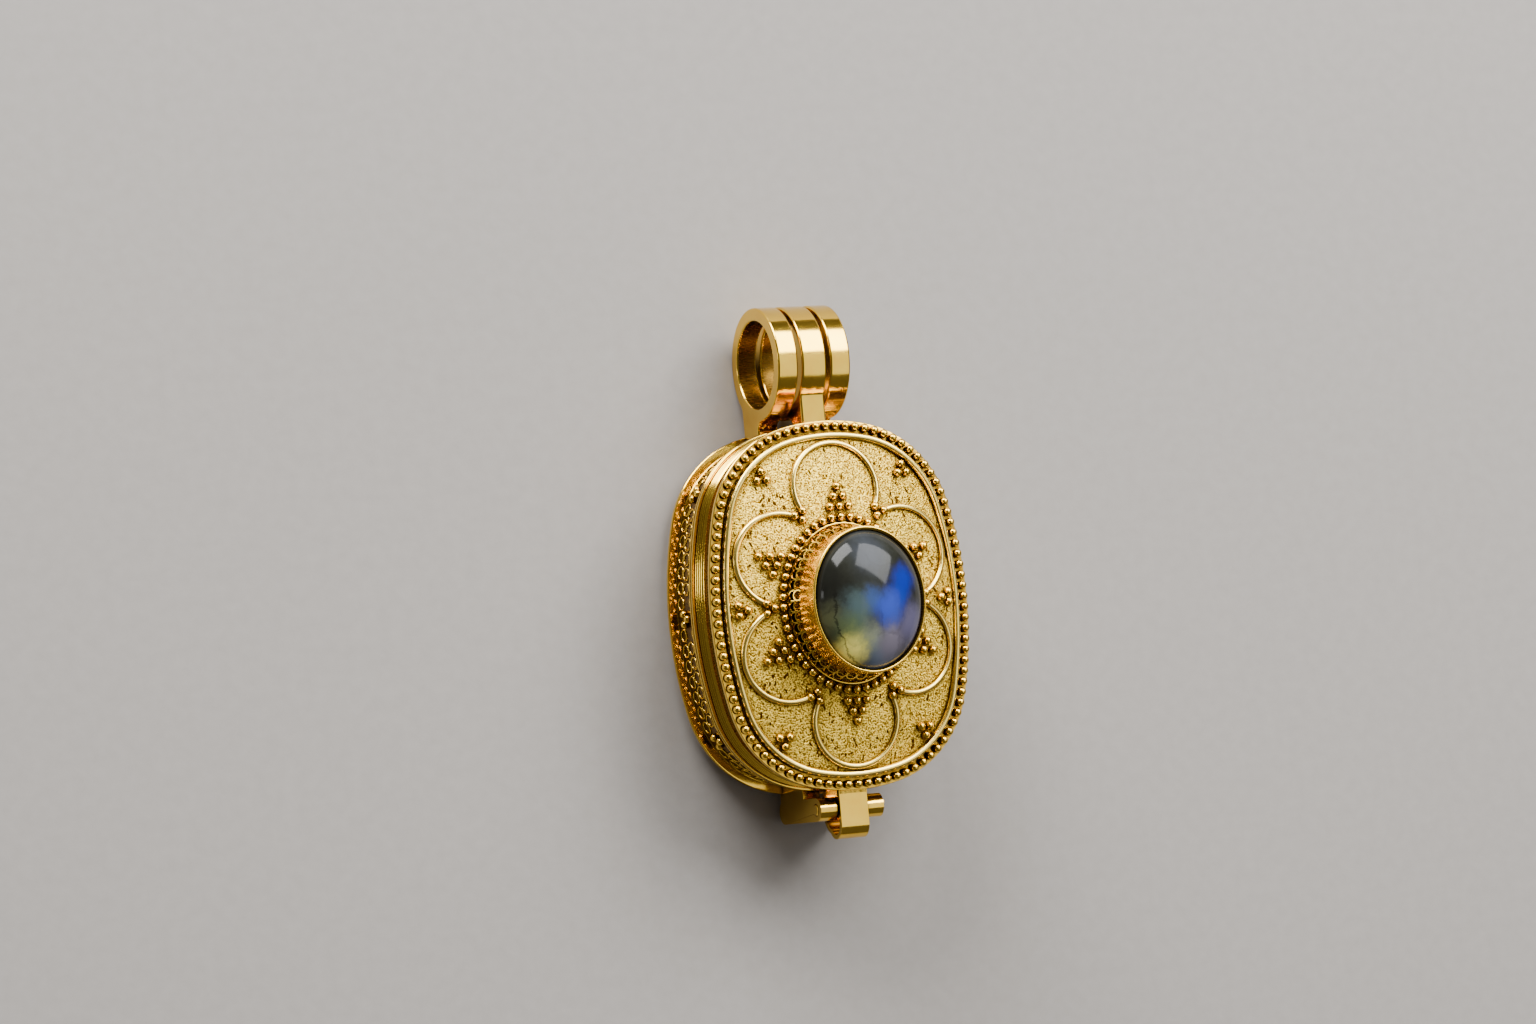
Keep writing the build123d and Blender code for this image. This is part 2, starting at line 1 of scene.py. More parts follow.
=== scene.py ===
# %% [markdown]
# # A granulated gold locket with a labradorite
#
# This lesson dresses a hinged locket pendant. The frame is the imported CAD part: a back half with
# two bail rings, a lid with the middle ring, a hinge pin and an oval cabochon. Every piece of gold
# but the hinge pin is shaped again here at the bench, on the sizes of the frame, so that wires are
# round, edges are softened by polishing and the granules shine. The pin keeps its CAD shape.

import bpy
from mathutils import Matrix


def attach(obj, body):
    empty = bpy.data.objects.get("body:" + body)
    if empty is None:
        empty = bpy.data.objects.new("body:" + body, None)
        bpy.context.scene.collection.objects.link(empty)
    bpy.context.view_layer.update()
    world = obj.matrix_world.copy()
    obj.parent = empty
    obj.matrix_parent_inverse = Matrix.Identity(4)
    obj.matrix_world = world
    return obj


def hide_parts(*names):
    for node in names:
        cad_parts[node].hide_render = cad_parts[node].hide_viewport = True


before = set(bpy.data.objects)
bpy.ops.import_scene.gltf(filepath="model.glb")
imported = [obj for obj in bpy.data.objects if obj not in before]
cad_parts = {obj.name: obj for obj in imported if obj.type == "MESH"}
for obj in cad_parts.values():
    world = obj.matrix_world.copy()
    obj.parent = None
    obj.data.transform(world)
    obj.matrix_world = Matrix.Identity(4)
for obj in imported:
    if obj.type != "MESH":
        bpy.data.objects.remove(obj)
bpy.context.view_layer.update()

# %% [markdown]
# ## The bench
#
# A goldsmith works in millimetres and Blender in metres, so sizes are written in millimetres and
# turned into metres where they are used. A few helpers do what is done again and again by hand:
# pick one piece, open it, close it with clean faces and a smooth polish, and draw an outline from
# point to point.

# %% Helpers for shaping
import math

import bpy
from mathutils import Matrix, Vector

MM = 0.001
SHARP_EDGE = 50  # degrees, the edges that the polishing wheel rounds


def clear_bench():
    """Deselect everything, so that the next step takes only its own piece."""
    bpy.ops.object.select_all(action="DESELECT")


def open_piece(name):
    """Name the primitive that was just added and open it, with all of it selected."""
    piece = bpy.context.object
    piece.name = name
    piece.data.name = name
    bpy.ops.object.transform_apply(location=True, rotation=True, scale=True)
    bpy.ops.object.mode_set(mode="EDIT")
    bpy.ops.mesh.select_all(action="SELECT")
    return piece


def merge_all():
    """Select the whole open piece and merge its doubled points."""
    bpy.ops.mesh.select_all(action="SELECT")
    bpy.ops.mesh.remove_doubles(threshold=0.002 * MM)


def pull(x, y, z):
    """Extrude what is selected by a move in millimetres."""
    bpy.ops.mesh.extrude_region_move(TRANSFORM_OT_translate={"value": Vector((x, y, z)) * MM})


def close_piece(edge_angle=30.0):
    """Merge doubled points, turn the faces outwards and polish every edge softer than edge_angle."""
    merge_all()
    bpy.ops.mesh.normals_make_consistent(inside=False)
    bpy.ops.object.mode_set(mode="OBJECT")
    bpy.ops.object.shade_smooth_by_angle(angle=math.radians(edge_angle))
    piece = bpy.context.object
    print(piece.name, len(piece.data.polygons), "faces")
    return piece


def draw_line(name, points):
    """Open a new piece and draw a line through points, by extruding one point to the next."""
    clear_bench()
    bpy.ops.mesh.primitive_plane_add(size=0.01 * MM, location=points[0] * MM)
    piece = open_piece(name)
    bpy.ops.mesh.merge(type="CENTER")
    for here, there in zip(points, points[1:]):
        pull(*(there - here))
    return piece


def soften(piece, width):
    """Round the sharp edges of a piece, as the polishing wheel does."""
    bevel = piece.modifiers.new("Polished edges", "BEVEL")
    bevel.width = width * MM
    bevel.segments = 3
    bevel.angle_limit = math.radians(SHARP_EDGE)
    bpy.ops.object.modifier_apply(modifier=bevel.name)
    bpy.ops.object.shade_smooth_by_angle(angle=math.radians(30))


def solder(pieces, name):
    """Join pieces into one."""
    clear_bench()
    for piece in pieces:
        piece.select_set(True)
    bpy.context.view_layer.objects.active = pieces[0]
    bpy.ops.object.join()
    pieces[0].name = name
    pieces[0].data.name = name
    print(name, len(pieces[0].data.polygons), "faces")
    return pieces[0]


def set_out(pattern, frames, name):
    """Copy a piece that was made at the origin to each frame, and solder the copies into one."""
    copies = []
    for place in frames:
        copy = pattern.copy()
        copy.data = pattern.data.copy()
        copy.data.transform(place)
        bpy.context.collection.objects.link(copy)
        copies.append(copy)
    bpy.data.objects.remove(pattern)
    return solder(copies, name)


def ball(name, diameter):
    """A melted ball of gold at the origin. It has few faces, because there are hundreds."""
    clear_bench()
    bpy.ops.mesh.primitive_uv_sphere_add(segments=12, ring_count=6, radius=diameter / 2 * MM)
    piece = open_piece(name)
    close_piece(180)
    return piece


def wire_ring(name, radius, wire, sides, wire_sides, edge_angle):
    """A small closed ring of wire that lies flat at the origin."""
    clear_bench()
    radii = {"major_radius": radius * MM, "minor_radius": wire / 2 * MM}
    bpy.ops.mesh.primitive_torus_add(major_segments=sides, minor_segments=wire_sides, **radii)
    piece = open_piece(name)
    close_piece(edge_angle)
    return piece


def at(x, y, z):
    """The frame of a place in millimetres, with no turn."""
    return Matrix.Translation(Vector((x, y, z)) * MM)


# %% [markdown]
# ## The cushion outline
#
# The case is a cushion: two long flat sides, two rounder ends and four corners, eight arcs that
# run into each other. Because they are arcs, every moulding that follows the outline can be made
# as a goldsmith draws wire round a former: a small cross-section is spun about the centre of each
# arc in turn until it meets itself.

# %% The outline and its arcs
CASE_WIDTH = 24.4
CASE_HEIGHT = 32.0
SIDE_RADIUS = 35.0
END_RADIUS = 18.0
CORNER_RADIUS = 9.6
SPIN_SPACING = 0.45  # mm along the outline from one copy of a cross-section to the next
QUARTERS = ((1, 1), (-1, 1), (-1, -1), (1, -1))

side_centre = Vector((CASE_WIDTH / 2 - SIDE_RADIUS, 0, 0))
end_centre = Vector((0, CASE_HEIGHT / 2 - END_RADIUS, 0))
from_side = SIDE_RADIUS - CORNER_RADIUS
from_end = END_RADIUS - CORNER_RADIUS
between = end_centre - side_centre
along = (from_side**2 - from_end**2 + between.length_squared) / (2 * between.length)
square_on = Vector((-between.y, between.x, 0)).normalized()
off_line = math.sqrt(from_side**2 - along**2)
corner_centre = side_centre + between.normalized() * along + square_on * off_line

side_turn = math.atan2(corner_centre.y, corner_centre.x - side_centre.x)
end_turn = math.atan2(corner_centre.x, corner_centre.y - end_centre.y)
corner_turn = math.pi / 2 - side_turn - end_turn
quarter_arcs = [
    (side_centre, SIDE_RADIUS, 0, side_turn),
    (corner_centre, CORNER_RADIUS, side_turn, corner_turn),
    (end_centre, END_RADIUS, side_turn + corner_turn, end_turn),
]
print("corner centre", round(corner_centre.x, 3), round(corner_centre.y, 3))


def spin_round_case():
    """Spin the selected cross-section round the case, anticlockwise from the middle of side +X."""
    for quarter, (x, y) in enumerate(QUARTERS):
        for centre, radius, _, turn in quarter_arcs if quarter % 2 == 0 else quarter_arcs[::-1]:
            steps = max(3, round(turn * radius / SPIN_SPACING))
            middle = Vector((centre.x * x, centre.y * y, 0)) * MM
            bpy.ops.mesh.spin(steps=steps, angle=turn, center=middle, axis=(0, 0, -1))


def moulding(name, section):
    """A moulding round the case, from a cross-section of (inset, height) points."""
    piece = draw_line(name, [Vector((CASE_WIDTH / 2 - inset, 0, z)) for inset, z in section])
    bpy.ops.mesh.select_all(action="SELECT")
    spin_round_case()
    return piece


def quarter_places(inset, count):
    """Points that part a quarter of the outline into count steps, each with its outward direction."""
    length = sum((radius - inset) * turn for _, radius, _, turn in quarter_arcs)
    places = []
    for step in range(count + 1):
        left = length * step / count
        for centre, radius, start, turn in quarter_arcs:
            if left <= (radius - inset) * turn + 1e-6:
                angle = start + left / (radius - inset)
                out = Vector((math.cos(angle), math.sin(angle), 0))
                places.append((centre + out * (radius - inset), out))
                break
            left -= (radius - inset) * turn
    return places


def round_corners(points, radius):
    """Soften the inner corners of a cross-section with small arcs of about that radius."""
    soft = [points[0]]
    for before, here, after in zip(points, points[1:], points[2:]):
        corner = Vector(here)
        back = Vector(before) - corner
        on = Vector(after) - corner
        reach = min(radius, back.length * 0.45, on.length * 0.45)
        start = corner + back.normalized() * reach
        end = corner + on.normalized() * reach
        for t in (0, 1 / 3, 2 / 3, 1):
            soft.append(tuple(start * (1 - t) ** 2 + corner * 2 * t * (1 - t) + end * t**2))
    return soft + [points[-1]]


# %% [markdown]
# ## The heights of the case
#
# These are the same levels as in the frame, from the face that the locket lies on upwards. The
# field of the lid is domed: it is a piece of a ring surface, with one curve across the case and a
# slower one along it.

# %% Levels and the domed field
FLANGE = 0.45
SHEET = 0.8  # thickness of the sheet that both halves are raised from
PANEL = 1.2
BACK_WALL = 4.3
LIP = 0.32
SEAM_GAP = 0.1
RIBS = 4
RIB_PITCH = 0.41
GROOVE = 1.96
DOME_RISE = 1.75

back_flange_z = PANEL
back_wall_z = back_flange_z + FLANGE
back_lip_z = back_wall_z + BACK_WALL
seam_z = back_lip_z + LIP
lid_lip_z = seam_z + SEAM_GAP
rib_z = lid_lip_z + LIP
groove_z = rib_z + RIBS * RIB_PITCH
lid_flange_z = groove_z + GROOVE
face_z = lid_flange_z + FLANGE
crown_z = face_z + DOME_RISE

BORDER_INSET = 1.36
field_x = CASE_WIDTH / 2 - BORDER_INSET
field_y = CASE_HEIGHT / 2 - BORDER_INSET
field_sagitta = 1.39
field_radius_x = (field_x**2 + field_sagitta**2) / (2 * field_sagitta)
field_radius_y = (field_y**2 + field_sagitta**2) / (2 * field_sagitta)


def field_height(x, y):
    """Height of the domed field."""
    drop = field_radius_x - math.sqrt(field_radius_x**2 - x**2)
    return crown_z - field_radius_y + math.sqrt((field_radius_y - drop) ** 2 - y**2)


print("face", round(face_z, 2), "crown", round(crown_z, 2))

# %% [markdown]
# ## Camera
#
# The photograph was taken with a long lens that looks at the lid from its left, almost level with
# its middle. The place and the tilt below were fitted to the outline, the stone and the bail, so
# the render can be laid over the photograph.

# %% Place the camera
CAMERA_PLACE = Vector((-171.37, -17.70, 376.75))
CAMERA_LOOK = Vector((0.41078, 0.06476, -0.90943))
CAMERA_UP = Vector((0.05642, 0.99376, 0.09625))

bpy.ops.object.camera_add(location=CAMERA_PLACE * MM)
camera = bpy.context.object
camera_right = CAMERA_LOOK.cross(CAMERA_UP).normalized()
camera_up = camera_right.cross(CAMERA_LOOK).normalized()
turn = Matrix((camera_right, camera_up, -CAMERA_LOOK)).transposed()
camera.matrix_world = Matrix.LocRotScale(CAMERA_PLACE * MM, turn, None)
camera.data.lens = 110
camera.data.sensor_width = 36
camera.data.clip_start = 0.01
bpy.context.scene.camera = camera
print("camera at", [round(c) for c in CAMERA_PLACE], "lens", camera.data.lens)

# %% [markdown]
# ## Table and light
#
# Polished gold shows its surroundings, so the light is the larger half of its colour. The stone is
# a small convex mirror, and its two grey windows tell where the lamps stood: a large one at the
# upper right, and a smaller one above and a little to the left. Their directions were worked out
# from the two windows. A narrow lamp at the left draws the bright line on the side wall, a large
# dim one in front fills the field, and the dim room keeps the rest of each reflection dark.

# %% Colours and shader nodes
COLOUR_MIX = {"data_type": "RGBA"}
DISTANCE = {"operation": "DISTANCE"}
MULTIPLY = {"operation": "MULTIPLY"}
PUSH = {"operation": "MULTIPLY_ADD"}
SUBTRACT = {"operation": "SUBTRACT"}


def linear(hex_colour):
    """An sRGB hex colour as the linear colour that shaders use."""
    channels = [int(hex_colour[i : i + 2], 16) / 255 for i in (1, 3, 5)]
    return (*[c / 12.92 if c <= 0.04045 else ((c + 0.055) / 1.055) ** 2.4 for c in channels], 1.0)


def feed(material, node, **inputs):
    """Give each named input of a node a value or a link. _0 names an input by its number."""
    for name, value in inputs.items():
        socket = node.inputs[int(name[1:])] if name[0] == "_" else node.inputs[name.replace("_", " ")]
        if isinstance(value, bpy.types.NodeSocket):
            material.node_tree.links.new(value, socket)
        else:
            socket.default_value = value


def add_node(material, kind, settings=None, **inputs):
    """Add a shader node of a kind with its settings, values and links."""
    node = material.node_tree.nodes.new("ShaderNode" + kind)
    for name, value in (settings or {}).items():
        setattr(node, name, value)
    feed(material, node, **inputs)
    return node


def noise(material, place, size, detail, **inputs):
    """A cloudy pattern whose spots are about a size in millimetres."""
    return add_node(material, "TexNoise", Vector=place, Scale=1 / (size * MM), Detail=detail, **inputs)


def ramp(material, value, low, high, start=0.0, end=1.0, kind="LINEAR"):
    """A value that goes from start to end while the given one goes from low to high."""
    levels = {"From_Min": low, "From_Max": high, "To_Min": start, "To_Max": end}
    return add_node(material, "MapRange", {"interpolation_type": kind}, Value=value, **levels).outputs[0]


def blend(material, share, under, over):
    """A share of one colour laid over another. Each is a hex colour or a link."""
    under, over = (linear(c) if isinstance(c, str) else c for c in (under, over))
    return add_node(material, "Mix", COLOUR_MIX, _0=share, _6=under, _7=over).outputs[2]


def new_material(name):
    """A material with only its Principled shader and output."""
    print("finish:", name)
    material = bpy.data.materials.new(name)
    material.use_nodes = True
    return material, material.node_tree.nodes["Principled BSDF"]


def dress(piece, material, body):
    """Give a piece its finish, and let it ride on a body of the frame."""
    piece.data.materials.clear()
    piece.data.materials.append(material)
    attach(piece, body)


# %% Table of pale grey plaster board
TABLE_GRIT = 1.2  # mm, the size of the soft mottling

table_paint, shader = new_material("Pale grey plaster board")
place = add_node(table_paint, "TexCoord").outputs["Object"]
mottle = noise(table_paint, place, TABLE_GRIT, 4.0).outputs["Fac"]
tone = blend(table_paint, mottle, "#8C8782", "#97928D")
relief = add_node(table_paint, "Bump", Height=mottle, Strength=0.15, Distance=0.1 * MM)
feed(table_paint, shader, Base_Color=tone, Normal=relief.outputs["Normal"], Roughness=0.85)

clear_bench()
bpy.ops.mesh.primitive_plane_add(size=3)
table = open_piece("table")
bpy.ops.mesh.subdivide(number_cuts=3)
bpy.ops.object.mode_set(mode="OBJECT")
table.data.materials.append(table_paint)

# %% Softboxes
def softbox(name, direction, distance, width, height, power):
    """A rectangular lamp that faces the lid, in a direction along the camera's right, up and back."""
    right, up, back = direction
    ray = (camera_right * right + camera_up * up - CAMERA_LOOK * back).normalized()
    spot = Vector((0, 0, face_z)) + ray * distance
    bpy.ops.object.light_add(type="AREA", location=spot * MM)
    lamp = bpy.context.object
    lamp.name = name
    lamp.data.shape = "RECTANGLE"
    lamp.data.size = width * MM
    lamp.data.size_y = height * MM
    lamp.data.energy = power
    lamp.rotation_euler = ray.to_track_quat("Z", "Y").to_euler()
    print(name, "stands at", [round(c) for c in spot])


softbox("right window", (0.58, 0.72, 0.42), 520, 410, 350, 6.6)
softbox("upper window", (-0.27, 0.88, 0.4), 520, 290, 270, 6.2)
softbox("left edge", (-0.95, 0.1, 0.2), 560, 70, 420, 0.6)
softbox("dim front", (0.74, 0.0, 0.65), 600, 420, 560, 0.95)

room = bpy.data.worlds.new("Dim studio")
room.use_nodes = True
feed(room, room.node_tree.nodes["Background"], Color=linear("#B9B4AE"), Strength=0.26)
bpy.context.scene.world = room

# %% [markdown]
# ## Gold
#
# The metal is 18 carat yellow gold. Most of it is polished on a felt wheel, which leaves a mirror
# with the faintest waves and hairlines. Granules keep the skin of the flame that melted them, the
# border and petal wires have lighter tones as a painted highlight, and the setting is rubbed down
# by hand. The inside and the back are only satin, and the bores, the groove of the lid and the
# back wall have a darker brown gold that is painted shade. All of these are one recipe with other
# values, and painted shade darkens the colour where two surfaces meet.

# %% Gold, polished or left as it is
GOLD_LIGHT = "#FBD252"
GOLD_DEEP = "#EBB83A"
# The next colour, and the reach and shares after it, make painted shade where another surface stands
# near.
GOLD_RECESS = "#5E3C08"
RECESS = 0.45  # mm, how near another surface must be for the darker tone of a recess
RECESS_FULL, RECESS_NONE = 0.42, 0.95  # shares of open sky at which that tone is full and gone
WHEEL_WAVE = 1.6  # mm, the waves that the felt wheel leaves
HAIRLINE = 0.12  # mm, fine scratches, drawn coarser than real ones so that they show
HAIR_STRETCH = 6.0


def recess_tone(material, colour, reach):
    """Darken a colour where another surface stands near: painted shade in recesses."""
    near = add_node(material, "AmbientOcclusion", {"samples": 6}, Distance=reach * MM)
    sky = ramp(material, near.outputs["AO"], RECESS_FULL, RECESS_NONE)
    return blend(material, sky, GOLD_RECESS, colour)


def polished_gold(name, roughness, wave_height, light=GOLD_LIGHT, deep=GOLD_DEEP):
    """Gold with a slightly uneven surface: two close tones, soft waves, hairlines and painted shade in
    recesses.
    """
    material, shader = new_material(name)
    place = add_node(material, "TexCoord").outputs["Object"]
    wave = noise(material, place, WHEEL_WAVE, 2.0).outputs["Fac"]
    drawn = add_node(material, "Mapping", Vector=place, Scale=(1.0, HAIR_STRETCH, 1.0)).outputs[0]
    hair = noise(material, drawn, HAIRLINE * HAIR_STRETCH, 3.0).outputs["Fac"]
    shine = ramp(material, hair, 0.0, 1.0, roughness * 0.7, roughness * 1.4)
    tone = blend(material, wave, light, deep)
    relief = add_node(material, "Bump", Height=wave, Strength=0.5, Distance=wave_height * MM)
    # Painted shade in recesses, where another surface stands near.
    worn = recess_tone(material, tone, RECESS)
    feed(material, shader, Base_Color=worn, Roughness=shine, Metallic=1.0)
    feed(material, shader, Normal=relief.outputs["Normal"])
    return material


mirror_gold = polished_gold("Gold polished on a felt wheel", 0.13, 0.02)
granule_gold = polished_gold("Gold granules fused with a flame", 0.16, 0.01)
# The wires get lighter tones than the rest of the gold: a painted highlight.
wire_gold = polished_gold(
    "Gold wire brightened in a pickle and burnished", 0.22, 0.01, "#FFE27A", "#FCD662"
)
burnished_gold = polished_gold("Gold setting rubbed down with a burnisher", 0.24, 0.01)
satin_gold = polished_gold("Gold left satin inside and behind", 0.32, 0.03)
# A darker brown copy of the gold: painted shade for the bores, the groove of the lid and the back wall.
skin_gold = polished_gold(
    "Gold left with its dark skin in bores and recesses", 0.26, 0.03, "#94702A", "#5C4116"
)

# %% A second finish on some faces of a piece
UPRIGHT = 0.3  # how far the normal of a wall may lean up or down


def finish_faces(piece, material, chosen):
    """Give a second finish to the faces that are chosen by their centre (in mm) and their normal."""
    piece.data.materials.append(material)
    for face in piece.data.polygons:
        if chosen(face.center / MM, face.normal):
            face.material_index = len(piece.data.materials) - 1


def on_wall(centre, normal, low, high):
    """Whether a face stands upright between two heights and looks outwards."""
    outwards = centre.x * normal.x + centre.y * normal.y > 0
    return low < centre.z < high and abs(normal.z) < UPRIGHT and outwards


# %% [markdown]
# ## Matted field
#
# The field of the lid is matted with a punch, point by point, so that the wires and granules stand
# out from it. The punch leaves a close grain of bright points and darker hollows. Where it slipped
# it left short strokes, which lie in patches. Both are drawn in the metal's colour and as a low
# relief, because the real marks are too fine to model.

# %% Matted gold of the field
PUNCH_MARK = 0.14  # mm between the marks of the matting punch
STROKE = 0.42  # mm between the short dark strokes, where the punch slipped
STROKE_TURN = math.radians(24)
STROKE_SWAY = 1.2  # mm, how far the rows of strokes wander
SWAY_PATCH = 1.7  # mm, and over what length
STROKE_PATCH = 3.2  # mm, the size of the patches in which strokes lie
STROKE_SIZE = (0.1, 0.26)  # of STROKE, outside the patches and inside them
PUNCH_DEPTH = 0.1
FIELD_RECESS = RECESS * 1.4


def matted_gold(name):
    """Gold beaten all over with a matting punch: a close grain, and a few short dark strokes."""
    material, shader = new_material(name)
    place = add_node(material, "TexCoord").outputs["Object"]
    marks = noise(material, place, PUNCH_MARK, 2.0, Roughness=0.6).outputs["Fac"]
    sway = noise(material, place, SWAY_PATCH, 1.0).outputs["Color"]
    far = (STROKE_SWAY * MM, STROKE_SWAY * MM, 0.0)
    swayed = add_node(material, "VectorMath", PUSH, _0=sway, _1=far, _2=place)
    drawn = add_node(material, "Mapping", Vector=swayed.outputs[0], Scale=(1.0, 0.5, 0.5))
    feed(material, drawn, Rotation=(0, 0, STROKE_TURN))
    strokes = add_node(material, "TexVoronoi", Vector=drawn.outputs[0], Scale=1 / (STROKE * MM))
    patch = noise(material, place, STROKE_PATCH, 1.0).outputs["Fac"]
    size = ramp(material, patch, 0.42, 0.62, *STROKE_SIZE)
    away = add_node(material, "Math", SUBTRACT, _0=strokes.outputs[0], _1=size)
    clear = ramp(material, away.outputs[0], -0.03, 0.05)
    grain = ramp(material, marks, 0.42, 0.55)
    tone = blend(material, grain, "#6E4A06", "#FAD44E")
    struck = blend(material, clear, "#4A2E0C", tone)
    height = add_node(material, "Math", {"operation": "ADD"}, _0=marks, _1=clear)
    relief = add_node(material, "Bump", Height=height.outputs[0], Strength=1.0, Distance=PUNCH_DEPTH * MM)
    # Painted shade where the wires and granules stand near the field.
    worn = recess_tone(material, struck, FIELD_RECESS)
    feed(material, shader, Base_Color=worn, Roughness=0.3, Metallic=1.0)
    feed(material, shader, Normal=relief.outputs["Normal"])
    return material


field_gold = matted_gold("Gold matted with a punch")

# %% [markdown]
# ## Back half of the case
#
# The back is a tray raised from sheet. Its panel stands out behind a flat flange, a low wall rises
# to the seam, and a thin lip meets the lid. The whole section is drawn once, from the floor of the
# tray over the lip and down to the panel, and spun round the cushion. The two flat faces are then
# filled.

# %% Tray
PANEL_INSET = 1.7
WALL_INSET = 0.8
LIP_INSET = 0.1
SHEET_BEND = 0.14  # mm, the soft corners of raised sheet
FLOOR_LOOP = PANEL_INSET + SHEET + 0.3  # mm, where the spun section ends and a flat face fills it
PANEL_LOOP = PANEL_INSET + 1.2


def fill_flat(height, inset):
    """Fill the flat loop at a height that lies further in than inset."""
    piece = bpy.context.object
    bpy.ops.mesh.select_all(action="DESELECT")
    bpy.ops.object.mode_set(mode="OBJECT")
    for vertex in piece.data.vertices:
        x, y, z = vertex.co / MM
        vertex.select = abs(z - height) < 0.001 and abs(x) < CASE_WIDTH / 2 - inset + 0.01
        vertex.select = vertex.select and abs(y) < CASE_HEIGHT / 2 - inset + 0.01
    bpy.ops.object.mode_set(mode="EDIT")
    bpy.ops.mesh.edge_face_add()


tray_section = round_corners(
    [
        (FLOOR_LOOP, SHEET),
        (PANEL_INSET + SHEET, SHEET),
        (PANEL_INSET + SHEET, back_flange_z + SHEET),
        (WALL_INSET + SHEET, back_flange_z + SHEET),
        (WALL_INSET + SHEET, seam_z),
        (LIP_INSET, seam_z),
        (LIP_INSET, back_lip_z),
        (WALL_INSET, back_lip_z),
        (WALL_INSET, back_wall_z),
        (0, back_wall_z),
        (0, back_flange_z),
        (PANEL_INSET, back_flange_z),
        (PANEL_INSET, 0),
        (PANEL_LOOP, 0),
    ],
    SHEET_BEND,
)
tray = moulding("back_tray", tray_section)
merge_all()
fill_flat(SHEET, FLOOR_LOOP)
fill_flat(0, PANEL_LOOP)
close_piece()
dress(tray, mirror_gold, "case")
finish_faces(tray, satin_gold, lambda centre, normal: centre.z < 0.01 or abs(centre.z - SHEET) < 0.01)
# The outer face of the back wall gets the darker gold as painted shade.
finish_faces(tray, skin_gold, lambda centre, normal: on_wall(centre, normal, back_wall_z, back_lip_z))
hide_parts("back_case")

# %% [markdown]
# ## Ornament of the back wall
#
# Groups of three granules stand on the wall of the back half: one at the middle of each side and
# one at each corner. Between them three rows of small wire rings are soldered down, and they give
# the wall its rough, dark look. Each is made once at the origin and set out round the outline,
# facing outwards.

# %% Granules and wire rings of the back wall
WALL_GRANULE = 0.7
WALL_PITCH = 0.88
WALL_SUNK = 0.15
TRIPLET_STEPS = ((-0.5, -0.4), (0.5, -0.4), (0, 0.4))  # pitches along the wall and up it
SCROLL = 0.56  # mm, radius of the wire rings
SCROLL_WIRE = 0.2
SCROLL_LIFT = 0.02
SCROLL_ROWS = ((-1.15, 16), (0.05, 17), (1.25, 16))  # mm up the wall, rings in a quarter
GROUP_ROOM = 1.6  # mm round a group that stay free of rings
wall_z = back_wall_z + BACK_WALL / 2


def facing_out(place, out, stand, shift, rise):
    """The frame of something on the wall, its Z axis outwards, moved along the wall and up."""
    sideways = Vector((-out.y, out.x, 0))
    spot = place + sideways * shift + out * stand
    turn = Matrix((sideways, Vector((0, 0, 1)), out)).transposed().to_4x4()
    return at(spot.x, spot.y, wall_z + rise) @ turn


def mirrored(point, x, y):
    """A point of the first quarter, or its mirror image in another."""
    return Vector((point.x * x, point.y * y, 0))


side, corner, _ = quarter_places(WALL_INSET, 2)
groups = [[mirrored(v, x, y) for v in side] for x, y in QUARTERS[:2]]
groups += [[mirrored(v, x, y) for v in corner] for x, y in QUARTERS]
triplets = [
    facing_out(place, out, WALL_GRANULE / 2 - WALL_SUNK, step * WALL_PITCH, rise * WALL_PITCH)
    for place, out in groups
    for step, rise in TRIPLET_STEPS
]
wall_granules = set_out(ball("wall_granule", WALL_GRANULE), triplets, "wall_granules")
dress(wall_granules, granule_gold, "case")

scroll = wire_ring("wall_scroll", SCROLL, SCROLL_WIRE, 12, 5, 180)
scroll_frames = []
for rise, count in SCROLL_ROWS:
    for place, out in quarter_places(WALL_INSET, count)[:-1]:
        for x, y in QUARTERS:
            spot = mirrored(place, x, y)
            if all(math.hypot((spot - group).length, rise) > GROUP_ROOM for group, _ in groups):
                scroll_frames.append(facing_out(spot, mirrored(out, x, y), SCROLL_LIFT, 0, rise))
scrolls = set_out(scroll, scroll_frames, "wall_scrolls")
dress(scrolls, mirror_gold, "case")

# %% [markdown]
# ## Lid
#
# The lid's wall carries, from the seam upwards, the lip, four close ribs, a plain hollow groove and
# the flange that frames the front. The ribs are drawn as four soft waves. On the flange stands a
# domed plate: the outline is drawn in towards the middle in even steps, and each point is then
# raised to the dome. Solidify gives that plate the thickness of its sheet, so the open lid shows a
# domed inside.

# %% Wall of the lid
GROOVE_INSET = 0.8
RIB_INSET = 0.34
RIB_SWELL = 0.18  # mm, how far each rib stands out
LIP_BEND = 0.1  # mm, the soft corners of a thin lip
rib_root = RIB_INSET + RIB_SWELL
inside = GROOVE_INSET + SHEET
ledge, ledge_z = inside + 0.4, face_z - 0.5  # the edge of the opening, under the domed field

rib_points = []
for rib in range(RIBS):
    for step in range(7):
        swell = (1 - math.cos(math.tau * step / 6)) / 2
        rib_points.append((rib_root - RIB_SWELL * swell, rib_z + (rib + step / 6) * RIB_PITCH))

lip_points = [(inside, ledge_z), (inside, lid_lip_z), (LIP_INSET, lid_lip_z)]
lid_section = round_corners(lip_points + [(LIP_INSET, rib_z), (rib_root, rib_z)], LIP_BEND)
lid_section += rib_points[1:]
lid_section += round_corners(
    [
        (rib_root, groove_z + 0.02),
        (GROOVE_INSET, groove_z + 0.02),
        (GROOVE_INSET, lid_flange_z),
        (0, lid_flange_z),
        (0, face_z),
        (ledge, face_z),
    ],
    SHEET_BEND,
)
lid_section += [(ledge, ledge_z), (inside, ledge_z)]
lid_wall = moulding("lid_wall", lid_section)
close_piece()
dress(lid_wall, mirror_gold, "lid")
